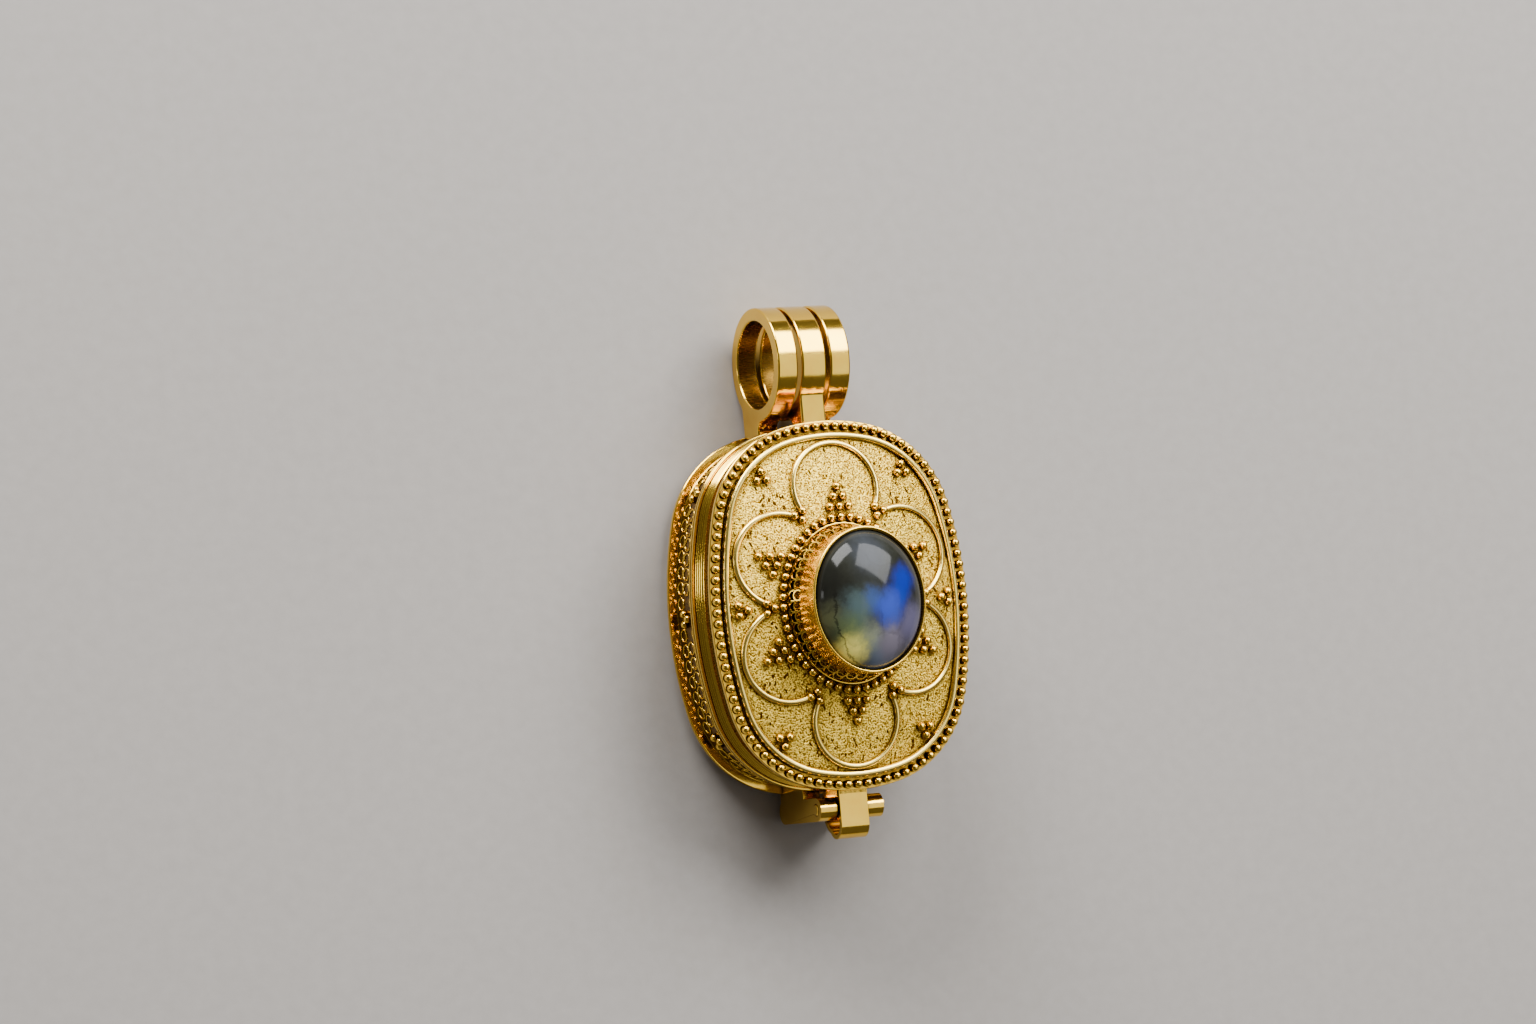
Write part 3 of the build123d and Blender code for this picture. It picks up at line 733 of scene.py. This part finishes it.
# The groove of the lid gets the darker gold as painted shade.
finish_faces(lid_wall, skin_gold, lambda centre, normal: on_wall(centre, normal, groove_z, lid_flange_z))
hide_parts("front_lid")

# %% Domed field of the lid
FIELD_STEPS = 26
FIELD_TUCK = 0.3  # mm that the field runs on under the border wire

field = moulding("lid_field", [(BORDER_INSET - FIELD_TUCK, face_z)])
merge_all()
for step in range(FIELD_STEPS - 1, 0, -1):
    shrink = step / (step + 1)
    bpy.ops.mesh.extrude_region_move()
    bpy.ops.transform.resize(value=(shrink, shrink, 1), center_override=(0, 0, face_z * MM))
bpy.ops.mesh.extrude_region_move()
bpy.ops.mesh.merge(type="CENTER")
bpy.ops.object.mode_set(mode="OBJECT")
for vertex in field.data.vertices:
    vertex.co.z = field_height(vertex.co.x / MM, vertex.co.y / MM) * MM
bpy.ops.object.mode_set(mode="EDIT")
close_piece(60)
if field.data.polygons[0].normal.z < 0:
    field.data.flip_normals()
plate = field.modifiers.new("Sheet", "SOLIDIFY")
plate.thickness = SHEET * MM
plate.offset = -1
bpy.ops.object.modifier_apply(modifier=plate.name)
dress(field, field_gold, "lid")
finish_faces(field, satin_gold, lambda centre, normal: normal.z < -0.5)
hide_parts("front_lid")

# %% [markdown]
# ## Border
#
# A drawn round wire frames the field. Outside it stands a row of beads, each a ball of gold melted
# on charcoal and soldered to the flange, a little apart from the next.

# %% Border wire and beads
BORDER_WIRE = 0.6
BORDER_LIFT = 0.42
BEAD_DIAMETER = 0.78
BEAD_PITCH = 0.93
BEAD_INSET = 0.5
BEAD_SUNK = 0.12


def round_wire(name, centre, along, diameter):
    """Open a new piece: a ring of points that is the cross-section of a round wire."""
    clear_bench()
    place = {"location": centre * MM, "rotation": along.to_track_quat("Z", "Y").to_euler()}
    bpy.ops.mesh.primitive_circle_add(vertices=16, radius=diameter / 2 * MM, **place)
    return open_piece(name)


start = Vector((CASE_WIDTH / 2 - BORDER_INSET, 0, face_z + BORDER_LIFT))
border = round_wire("border_wire", start, Vector((0, 1, 0)), BORDER_WIRE)
spin_round_case()
close_piece(60)
# The border wire has the lighter wire gold, a painted highlight.
dress(border, wire_gold, "lid")

bead_z = face_z + BEAD_DIAMETER / 2 - BEAD_SUNK
quarter_length = sum((radius - BEAD_INSET) * turn for _, radius, _, turn in quarter_arcs)
places = [place for place, _ in quarter_places(BEAD_INSET, round(quarter_length / BEAD_PITCH))]
bead_frames = []
for here, there in zip(places, places[1:]):
    bead_frames += [at(here.x, here.y, bead_z), at(-there.x, there.y, bead_z)]
    bead_frames += [at(-here.x, -here.y, bead_z), at(there.x, -there.y, bead_z)]
beads = set_out(ball("bead", BEAD_DIAMETER), bead_frames, "bead_row")
dress(beads, granule_gold, "lid")

# %% [markdown]
# ## Rosette
#
# Six petals of round wire stand on the matted field. Each is bent flat to one arc and then tapped
# down, so that it follows the dome. The wires stop short of each other, and small granules close
# the gaps. A ring of granules goes round the setting, six little pyramids of them point into the
# petals, and groups of three fill the corners and stand at the middle of each side.

# %% Petal wires
PETAL_WIRE = 0.52
PETAL_SUNK = 0.14
PETAL_STEPS = 40
GRANULE_DIAMETER = 0.07 * field_x
GRANULE_PITCH = 0.081 * field_x
GRANULE_SUNK = 0.1
RING_X = 6.11
RING_Y = 7.46


def off_ring(degrees, reach):
    """The place at an angle, reach outside the oval that the granule ring follows."""
    side = Vector((math.cos(math.radians(degrees)), math.sin(math.radians(degrees))))
    return side * (1 / math.hypot(side.x / RING_X, side.y / RING_Y) + reach)


# Where two petals meet, and where a petal reaches furthest out, as read from the photograph.
SIDE_JUNCTION = off_ring(0, 1.65 * GRANULE_PITCH)
END_JUNCTION = off_ring(64.3, 1.97 * GRANULE_PITCH)
SIDE_APEX = Vector((9.483, 5.684))
END_APEX = Vector((0, CASE_HEIGHT / 2 - 1.99))


def turned(a, b):
    """The angle from one direction of the plan to another, anticlockwise."""
    return math.atan2(a.x * b.y - a.y * b.x, a.dot(b))


def petal_wire(a, b, c):
    """A petal wire bent flat to the arc from a over b to c, then tapped down on the dome."""
    ab, ac = b - a, c - a
    cross = 2 * (ab.x * ac.y - ab.y * ac.x)
    over = Vector((ac.y * ab.length_squared - ab.y * ac.length_squared, 0))
    over.y = ab.x * ac.length_squared - ac.x * ab.length_squared
    centre = a + over / cross
    sweep = turned(a - centre, b - centre) + turned(b - centre, c - centre)
    along = (a - centre).orthogonal()
    piece = round_wire("petal", a.to_3d(), along.to_3d(), PETAL_WIRE)
    bpy.ops.mesh.edge_face_add()
    bpy.ops.mesh.spin(steps=PETAL_STEPS, angle=sweep, center=centre.to_3d() * MM, axis=(0, 0, -1))
    close_piece(60)
    lift = PETAL_WIRE / 2 - PETAL_SUNK
    for vertex in piece.data.vertices:
        vertex.co.z += (field_height(vertex.co.x / MM, vertex.co.y / MM) + lift) * MM
    return piece


def junction_ends(junction):
    """The two wire ends at a junction, half a granule's pitch to each side of it."""
    sideways = Vector((-junction.y, junction.x)).normalized() * (GRANULE_PITCH / 2)
    return junction - sideways, junction + sideways


side_end = junction_ends(SIDE_JUNCTION)[1]
near_end, far_end = junction_ends(END_JUNCTION)
petals = []
for y in (1, -1):
    ends = [Vector((x * far_end.x, y * far_end.y)) for x in (1, -1)]
    petals.append(petal_wire(ends[0], y * END_APEX, ends[1]))
    for x in (1, -1):
        bend = [Vector((x * p.x, y * p.y)) for p in (side_end, SIDE_APEX, near_end)]
        petals.append(petal_wire(*bend))
rosette = solder(petals, "rosette_wires")
# The petal wires have the lighter wire gold, a painted highlight.
dress(rosette, wire_gold, "lid")

# %% Places of the granules
CLUSTER_GAP = 0.04
CLUSTER_TURN = 30  # degrees from the side, where a pyramid points into a side petal
TRIPLET = Vector((6.669, 11.299))  # mm, the middle of a group of three in a corner
SIDE_TRIPLET_X = CASE_WIDTH / 2 - 2.5


def four_ways(point):
    """A place and its mirror images across the locket and along it."""
    return [(point.x * x, point.y * y) for x, y in QUARTERS]


def ring_places(half_x, half_y, pitch):
    """Even places round an oval, a pitch apart."""
    turns = [math.tau * i / 3600 for i in range(3600)]
    fine = [(half_x * math.cos(turn), half_y * math.sin(turn)) for turn in turns]
    steps = [math.dist(a, b) for a, b in zip(fine, fine[1:] + fine[:1])]
    count = 4 * round(sum(steps) / 4 / pitch)
    places, gone = [], 0.0
    for spot, step in zip(fine, steps):
        if gone >= len(places) * sum(steps) / count:
            places.append(spot)
        gone += step
    return places[:count]


granule_places = ring_places(RING_X, RING_Y, GRANULE_PITCH)
for junction in (SIDE_JUNCTION, END_JUNCTION):
    inner = junction - junction.normalized() * (GRANULE_PITCH * 0.75)
    for spot in (*junction_ends(junction), inner):
        granule_places += four_ways(spot)

across = off_ring(CLUSTER_TURN, 0).normalized().orthogonal()
for row in (1, 2, 3):
    for spot in range(4 - row):
        offset = (spot - (3 - row) / 2) * GRANULE_PITCH
        reach = row * GRANULE_PITCH + CLUSTER_GAP
        granule_places += four_ways(off_ring(CLUSTER_TURN, reach) + across * offset)
        granule_places += [(offset, RING_Y + reach), (-offset, -RING_Y - reach)]

for degrees in (90, 210, 330):
    step = Vector((math.cos(math.radians(degrees)), math.sin(math.radians(degrees))))
    step *= GRANULE_PITCH / math.sqrt(3)
    granule_places += four_ways(TRIPLET + step)
    granule_places += [(s * (SIDE_TRIPLET_X - step.y), s * step.x) for s in (1, -1)]

single = sorted({(round(x, 3), round(y, 3)) for x, y in granule_places})
granule_lift = GRANULE_DIAMETER / 2 - GRANULE_SUNK
granule_frames = [at(x, y, field_height(x, y) + granule_lift) for x, y in single]
granules = set_out(ball("granule", GRANULE_DIAMETER), granule_frames, "granules")
dress(granules, granule_gold, "lid")
print(len(granule_frames), "granules")

# %% [markdown]
# ## Setting
#
# The stone sits in a tall bezel: a gallery that flares to the field, a plain collar above it and a
# rim rubbed over the girdle. Each level is an oval loop that is extruded upwards and drawn in or
# out. A wire goes round the foot, and two rows of wire loops stand against the gallery.

# %% Bezel
STONE_X = 5.0
STONE_Y = 6.0
COLLAR = 0.3
GALLERY = 0.16
seat_z = crown_z + 2.4  # the flat back of the stone
girdle_z = seat_z + 1.04  # the foot of its dome
rim_z = girdle_z + 0.62
rim_top = rim_z + 0.26
bezel_foot_z = crown_z - 0.7  # hidden in the field


def oval_turning(name, loops):
    """Open a new piece: oval loops of (half width, half length, height) joined one to the next."""
    clear_bench()
    half_x, half_y, height = loops[0]
    bpy.ops.mesh.primitive_circle_add(vertices=96, radius=half_x * MM, location=(0, 0, height * MM))
    piece = open_piece(name)
    bpy.ops.transform.resize(value=(1, half_y / half_x, 1), center_override=(0, 0, 0))
    for (x0, y0, z0), (x1, y1, z1) in zip(loops, loops[1:]):
        pull(0, 0, z1 - z0)
        bpy.ops.transform.resize(value=(x1 / x0, y1 / y0, 1), center_override=(0, 0, z1 * MM))
    return piece


bezel_section = round_corners(
    [
        (0.42, bezel_foot_z),
        (0.24, crown_z + 0.9),
        (GALLERY, seat_z - 0.1),
        (COLLAR, seat_z),
        (COLLAR, rim_top - 0.1),
        (COLLAR - 0.16, rim_top),
        (-0.03, rim_z + 0.06),
        (-0.07, rim_z),
        (0.04, rim_z - 0.05),
        (0.04, seat_z),
        (-0.7, seat_z),
        (-0.7, bezel_foot_z),
    ],
    LIP_BEND,
)
bezel_loops = [(STONE_X + out, STONE_Y + out, z) for out, z in bezel_section + bezel_section[:1]]
bezel = oval_turning("bezel_cup", bezel_loops)
close_piece(40)
dress(bezel, burnished_gold, "lid")
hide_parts("bezel")

# %% Foot wire and gallery loops
FOOT_WIRE = 0.34
FOOT_X = 5.56
FOOT_Y = 6.91
FOOT_LIFT = 0.11
LOOP_WIRE = 0.17
LOOP_RADIUS = 0.44
LOOP_GAP = 0.04
LOOP_ROWS = ((0.62, 5.36, 6.5), (1.42, 5.28, 6.3))  # mm above the field, half width, half length
LOOP_LEAN = 0.12  # the slope of the gallery, against which the loops lean
GALLERY_X, GALLERY_Y = 5.3, 6.4

foot_z = field_height(5.5, 0) + FOOT_LIFT
foot_loops = []
for step in range(13):
    angle = math.tau * step / 12
    out, up = FOOT_WIRE / 2 * math.cos(angle), FOOT_WIRE / 2 * math.sin(angle)
    foot_loops.append((FOOT_X + out, FOOT_Y + out, foot_z + up))
foot = oval_turning("foot_wire", foot_loops)
close_piece(60)
dress(foot, mirror_gold, "lid")

loop = wire_ring("gallery_loop", LOOP_RADIUS, LOOP_WIRE, 16, 6, 60)
loop_frames = []
for rise, half_x, half_y in LOOP_ROWS:
    for x, y in ring_places(half_x, half_y, 2 * LOOP_RADIUS + LOOP_GAP):
        out = Vector((x / GALLERY_X**2, y / GALLERY_Y**2, LOOP_LEAN)).normalized()
        upright = out.to_track_quat("Z", "Y").to_matrix().to_4x4()
        loop_frames.append(at(x, y, field_height(5.4, 0) + rise) @ upright)
gallery_loops = set_out(loop, loop_frames, "gallery_loops")
dress(gallery_loops, mirror_gold, "lid")

# %% [markdown]
# ## Stone
#
# The stone is a labradorite cut as an oval cabochon: a flat-backed dome polished like glass. Thin
# twinned layers inside it throw the light back in patches, here a blue band on the right, teal in
# the middle, a yellow-green glow below, and violet-grey beyond it, on a dark grey-green ground with
# fine dark cracks. The patches are laid out in the stone's own oval, so they stay in the stone.
# They are painted in its surface, where a real stone shows them only at some angles, so that they
# can be seen from all sides.

# %% The play of colour and where it lies
DRIFT = 0.36  # of the stone's half width, how far its layers have wandered
CRACK_CENTRE = (0.18, -0.12)  # the long crack runs along an arc about this place
CRACK_RADIUS = 0.95
CRACK_WIDTH = 0.022
CRACK_PART = (-0.68, -0.5)  # and it shows only round this one

# Centre in the stone's oval, radius, colour and strength of each patch, from the first laid down.
PLAY_OF_COLOUR = [
    ((-0.82, 0.26), 0.5, "#12120F", 0.8),
    ((-0.1, 0.62), 0.55, "#3A3E46", 0.6),
    ((-0.85, -0.3), 0.4, "#4E5034", 0.7),
    ((-0.4, -0.12), 0.46, "#3E4E50", 0.8),
    ((-0.52, -0.42), 0.4, "#4C5A3E", 0.75),
    ((-0.22, -0.6), 0.42, "#7A8070", 0.8),
    ((-0.46, -0.66), 0.42, "#8A8E4A", 0.75),
    ((-0.53, -0.8), 0.42, "#FFF078", 1.0),
    ((0.0, -0.9), 0.5, "#5E6878", 0.9),
    ((0.2, -0.62), 0.48, "#6A6470", 0.9),
    ((0.6, -0.4), 0.5, "#545068", 0.9),
    ((-0.12, -0.02), 0.3, "#2C4272", 0.75),
    ((0.36, 0.03), 0.4, "#1A2C82", 0.9),
    ((0.15, -0.17), 0.42, "#283C94", 0.95),
    ((0.5, 0.22), 0.36, "#12227E", 0.9),
]


def drifted(centre):
    """Where a place of the stone's oval lies once its layers have wandered."""
    return (centre[0] + DRIFT / 2, centre[1] + DRIFT / 2, 0.0)


def spread(material, place, centre, near, far, strength, kind="LINEAR"):
    """How much a patch shows: its strength up to near from its centre, and nothing past far."""
    away = add_node(material, "VectorMath", DISTANCE, _0=place, _1=drifted(centre))
    return ramp(material, away.outputs[1], near, far, strength, 0.0, kind)


print(len(PLAY_OF_COLOUR), "patches of colour")

# %% Labradorite
def labradorite(name):
    """Dark feldspar with soft patches of play of colour, cloudy layers, cracks and a faint painted glow.
    """
    material, shader = new_material(name)
    place = add_node(material, "TexCoord").outputs["Object"]
    half_axes = (1 / (STONE_X * MM), 1 / (STONE_Y * MM), 0)
    oval = add_node(material, "Mapping", Vector=place, Scale=half_axes).outputs[0]
    drift = add_node(material, "TexNoise", Vector=oval, Scale=2.6, Detail=6.0, Roughness=0.72)
    far = (DRIFT, DRIFT, 0.0)
    pushed = add_node(material, "VectorMath", PUSH, _0=drift.outputs["Color"], _1=far, _2=oval)
    bent = pushed.outputs[0]
    layering = add_node(material, "TexNoise", Vector=bent, Scale=3.4, Detail=6.0, Roughness=0.62)
    cloud = layering.outputs["Fac"]

    # What is laid over the ground, one on the other: each with how much it shows, and its colour.
    layers = [
        (spread(material, bent, centre, 0.0, size, strength, "SMOOTHERSTEP"), tint)
        for centre, size, tint, strength in PLAY_OF_COLOUR
    ]
    fold = add_node(material, "TexVoronoi", {"feature": "DISTANCE_TO_EDGE"}, Vector=bent, Scale=1.15)
    line = ramp(material, fold.outputs[0], 0.0, 0.035, 0.3, 0.0)
    part = ramp(material, cloud, 0.42, 0.58)
    crack = add_node(material, "Math", MULTIPLY, _0=line, _1=part)
    layers.append((crack.outputs[0], "#15130F"))

    reach = add_node(material, "VectorMath", DISTANCE, _0=bent, _1=drifted(CRACK_CENTRE))
    off = add_node(material, "Math", SUBTRACT, _0=reach.outputs[1], _1=CRACK_RADIUS)
    gap = add_node(material, "Math", {"operation": "ABSOLUTE"}, _0=off.outputs[0])
    plane = ramp(material, gap.outputs[0], 0.0, CRACK_WIDTH, 0.75, 0.0)
    within = spread(material, bent, CRACK_PART, 0.55, 0.7, 1.0)
    cleft = add_node(material, "Math", MULTIPLY, _0=plane, _1=within)
    layers.append((cleft.outputs[0], "#0E0D0A"))

    colour = blend(material, cloud, "#080806", "#2E2F28")
    for share, tint in layers:
        colour = blend(material, share, colour, tint)
    feed(material, shader, Base_Color=colour, Roughness=0.1, IOR=1.56, Specular_IOR_Level=0.12)
    # A faint glow in the stone's own colours: painted light, since the stone is no lamp.
    feed(material, shader, Emission_Color=colour, Emission_Strength=0.1)
    return material


flash_stone = labradorite("Labradorite cabochon, polished")

# %% Cabochon
STONE_DOME = 3.0
GIRDLE = 0.8  # mm, the upright band under the dome
STONE_FOOT = 0.2  # mm, the bevel round the flat back

clear_bench()
bpy.ops.mesh.primitive_uv_sphere_add(segments=96, ring_count=64, radius=MM)
stone = open_piece("labradorite")
bpy.ops.mesh.bisect(plane_co=(0, 0, 0), plane_no=(0, 0, 1), clear_inner=True)
bpy.ops.mesh.select_all(action="SELECT")
bpy.ops.transform.resize(value=(STONE_X, STONE_Y, STONE_DOME), center_override=(0, 0, 0))
bpy.ops.transform.translate(value=(0, 0, girdle_z * MM))
bpy.ops.mesh.select_all(action="DESELECT")
bpy.ops.mesh.select_mode(type="EDGE")
bpy.ops.mesh.select_non_manifold()
pull(0, 0, -GIRDLE)
pull(0, 0, -STONE_FOOT)
bpy.ops.transform.resize(value=(0.95, 0.958, 1), center_override=(0, 0, 0))
bpy.ops.mesh.edge_face_add()
bpy.ops.mesh.select_mode(type="VERT")
close_piece(40)
dress(stone, flash_stone, "lid")
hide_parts("cabochon")

# %% [markdown]
# ## Bail
#
# The bail is three rings on one axis. The two outer ones stand on the back half and the middle one
# on the lid, so that a chain drawn through all three locks the locket. Each ring is sawn with its
# stem from one plate, so its side view is drawn as one outline, pierced, and given its width. The
# stem runs into the ring with a small hollow curve.

# %% Bail rings
BAIL_OUTER = 5.0
BAIL_BORE = 3.85
BAIL_Y = CASE_HEIGHT / 2 + 5.65
BAIL_Z = 5.0
STEM_FLARE = 0.9
STEM_ROOT = 0.3  # mm that a stem runs into the wall behind it
OUTER_START = 1.55
OUTER_WIDTH = 1.9
OUTER_STEM = (1.4, 4.4)  # mm, its lowest and highest level
MIDDLE_WIDTH = 2.3
MIDDLE_STEM = (rib_z + 0.04, face_z - 1.9)


def arc(centre, radius, start, end, count):
    """Points (y, z) along an arc, from a start to an end angle in degrees."""
    points = []
    for step in range(count + 1):
        angle = math.radians(start + (end - start) * step / count)
        points.append((centre[0] + radius * math.cos(angle), centre[1] + radius * math.sin(angle)))
    return points


def ring_outline(foot, low, high):
    """Side view of a bail ring with its stem between two heights, as (y, z) points."""
    flares = []
    for level, sign in ((low, -1), (high, 1)):
        z = level + sign * STEM_FLARE
        y = BAIL_Y - math.sqrt((BAIL_OUTER + STEM_FLARE) ** 2 - (z - BAIL_Z) ** 2)
        touch = math.degrees(math.atan2(BAIL_Z - z, BAIL_Y - y))
        flares.append((y, z, touch))
    (y0, z0, touch0), (y1, z1, touch1) = flares
    points = [(foot, low)] + arc((y0, z0), STEM_FLARE, 90, touch0, 6)
    points += arc((BAIL_Y, BAIL_Z), BAIL_OUTER, touch0 - 180, 180 + touch1, 72)[1:-1]
    points += arc((y1, z1), STEM_FLARE, touch1, -90, 6)
    return points + [(foot, high)]


def plate(name, outline, start, width, hole=None):
    """A plate sawn to an outline of (y, z) points, from start towards +X, with a round hole if given."""
    piece = draw_line(name, [Vector((start, y, z)) for y, z in outline + outline[:1]])
    merge_all()
    if hole:
        (y, z), radius = hole
        middle = Vector((start, y, z)) * MM
        turn = (0, math.pi / 2, 0)
        bpy.ops.mesh.primitive_circle_add(vertices=72, radius=radius * MM, location=middle, rotation=turn)
        bpy.ops.mesh.select_all(action="SELECT")
    bpy.ops.mesh.fill()
    bpy.ops.mesh.select_all(action="SELECT")
    pull(width, 0, 0)
    close_piece()
    return piece


def bail_ring(name, start, width, foot, low, high):
    """One ring of the bail with its stem."""
    ring = plate(name, ring_outline(foot, low, high), start, width, ((BAIL_Y, BAIL_Z), BAIL_BORE))
    soften(ring, 0.16)
    return ring


def in_bore(centre, normal):
    """Whether a face belongs to the bore of the bail."""
    return math.hypot(centre.y - BAIL_Y, centre.z - BAIL_Z) < BAIL_BORE


outer_foot = CASE_HEIGHT / 2 - WALL_INSET - STEM_ROOT
for side, start in (("left", OUTER_START), ("right", -OUTER_START - OUTER_WIDTH)):
    ring = bail_ring("ring_" + side, start, OUTER_WIDTH, outer_foot, *OUTER_STEM)
    dress(ring, mirror_gold, "case")
    # The bore of the ring gets the darker gold as painted shade.
    finish_faces(ring, skin_gold, in_bore)
    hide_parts(side + "_bail_ring")
middle_foot = CASE_HEIGHT / 2 - GROOVE_INSET - STEM_ROOT
middle_ring = bail_ring("ring_middle", -MIDDLE_WIDTH / 2, MIDDLE_WIDTH, middle_foot, *MIDDLE_STEM)
dress(middle_ring, mirror_gold, "lid")
# The bore of the middle ring gets the darker gold as painted shade.
finish_faces(middle_ring, skin_gold, in_bore)
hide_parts("middle_bail_ring")

# %% [markdown]
# ## Hinge
#
# Below the case two ears of the back half hold a pin, and a strap that belongs to the lid loops
# round it. The ears are plates with round ends. The strap is a sheet bent into a loop: its outline
# is filled, drawn in by the thickness of the sheet and opened. A short tube inside it is the
# knuckle that turns on the pin.

# %% Ears of the hinge
PIN_Y = -CASE_HEIGHT / 2 - 1.42
PIN_Z = seam_z + 2.1
PIN_BORE = 0.54  # mm, radius
KNUCKLE = 2.04
EAR_START = 1.45
EAR_WIDTH = 1.55
PIN = (PIN_Y, PIN_Z)

ear_back = 0.6 + KNUCKLE / 2  # mm, the middle of the ear's round lower end
root = -CASE_HEIGHT / 2 + WALL_INSET + STEM_ROOT
ear_outline = (
    [(root, back_lip_z), (PIN_Y + KNUCKLE / 2, back_lip_z)]
    + arc(PIN, KNUCKLE / 2, 0, 180, 24)
    + arc((PIN_Y, ear_back), KNUCKLE / 2, 180, 330, 20)
    + [(root, back_flange_z)]
)
for side, start in (("left", EAR_START), ("right", -EAR_START - EAR_WIDTH)):
    ear = plate("ear_" + side, ear_outline, start, EAR_WIDTH, (PIN, PIN_BORE))
    soften(ear, 0.14)
    dress(ear, mirror_gold, "case")
    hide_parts(side + "_hinge_ear")

# %% Strap and pin
STRAP_HALF = 1.33  # mm, half its width
STRAP_SHEET = 0.42
STRAP_FRONT = 1.34
STRAP_RADIUS = 2.4
STRAP_LOBE = 1.33  # mm below the pin, the centre of the strap's small end

top = math.degrees(math.asin(STRAP_FRONT / STRAP_RADIUS))
meet = (STRAP_RADIUS**2 - STRAP_FRONT**2 + STRAP_LOBE**2) / (2 * STRAP_LOBE)
low = math.degrees(math.acos(meet / STRAP_RADIUS))
lobe_low = math.degrees(math.atan2(math.sqrt(STRAP_RADIUS**2 - meet**2), meet - STRAP_LOBE))
strap_outline = arc(PIN, STRAP_RADIUS, top, low - 180, 40)
strap_outline += arc((PIN_Y - STRAP_LOBE, PIN_Z), STRAP_FRONT, lobe_low - 180, -270, 18)

strap_loop = draw_line("strap_loop", [Vector((-STRAP_HALF, y, z)) for y, z in strap_outline])
bpy.ops.mesh.select_all(action="SELECT")
bpy.ops.mesh.edge_face_add()
bpy.ops.mesh.inset(thickness=STRAP_SHEET * MM)
bpy.ops.mesh.delete(type="FACE")
bpy.ops.mesh.select_all(action="SELECT")
pull(2 * STRAP_HALF, 0, 0)
close_piece()
soften(strap_loop, 0.1)

tab_top = -CASE_HEIGHT / 2 + GROOVE_INSET + STEM_ROOT
tab_foot = PIN_Y + 1.2
tab_front = PIN_Z + STRAP_FRONT
tab_back = tab_front - STRAP_SHEET
tab_outline = [(tab_top, tab_back), (tab_top, tab_front), (tab_foot, tab_front), (tab_foot, tab_back)]
tab = plate("hinge_tab", tab_outline, -STRAP_HALF, 2 * STRAP_HALF)
tube = arc(PIN, KNUCKLE / 2, 0, 350, 35)
knuckle = plate("hinge_knuckle", tube, -STRAP_HALF, 2 * STRAP_HALF, (PIN, PIN_BORE))
strap = solder([strap_loop, tab, knuckle], "strap_loop")
dress(strap, mirror_gold, "lid")
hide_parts("hinge_strap")

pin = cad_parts["hinge_pin"]
pin.data.materials.clear()
pin.data.materials.append(mirror_gold)
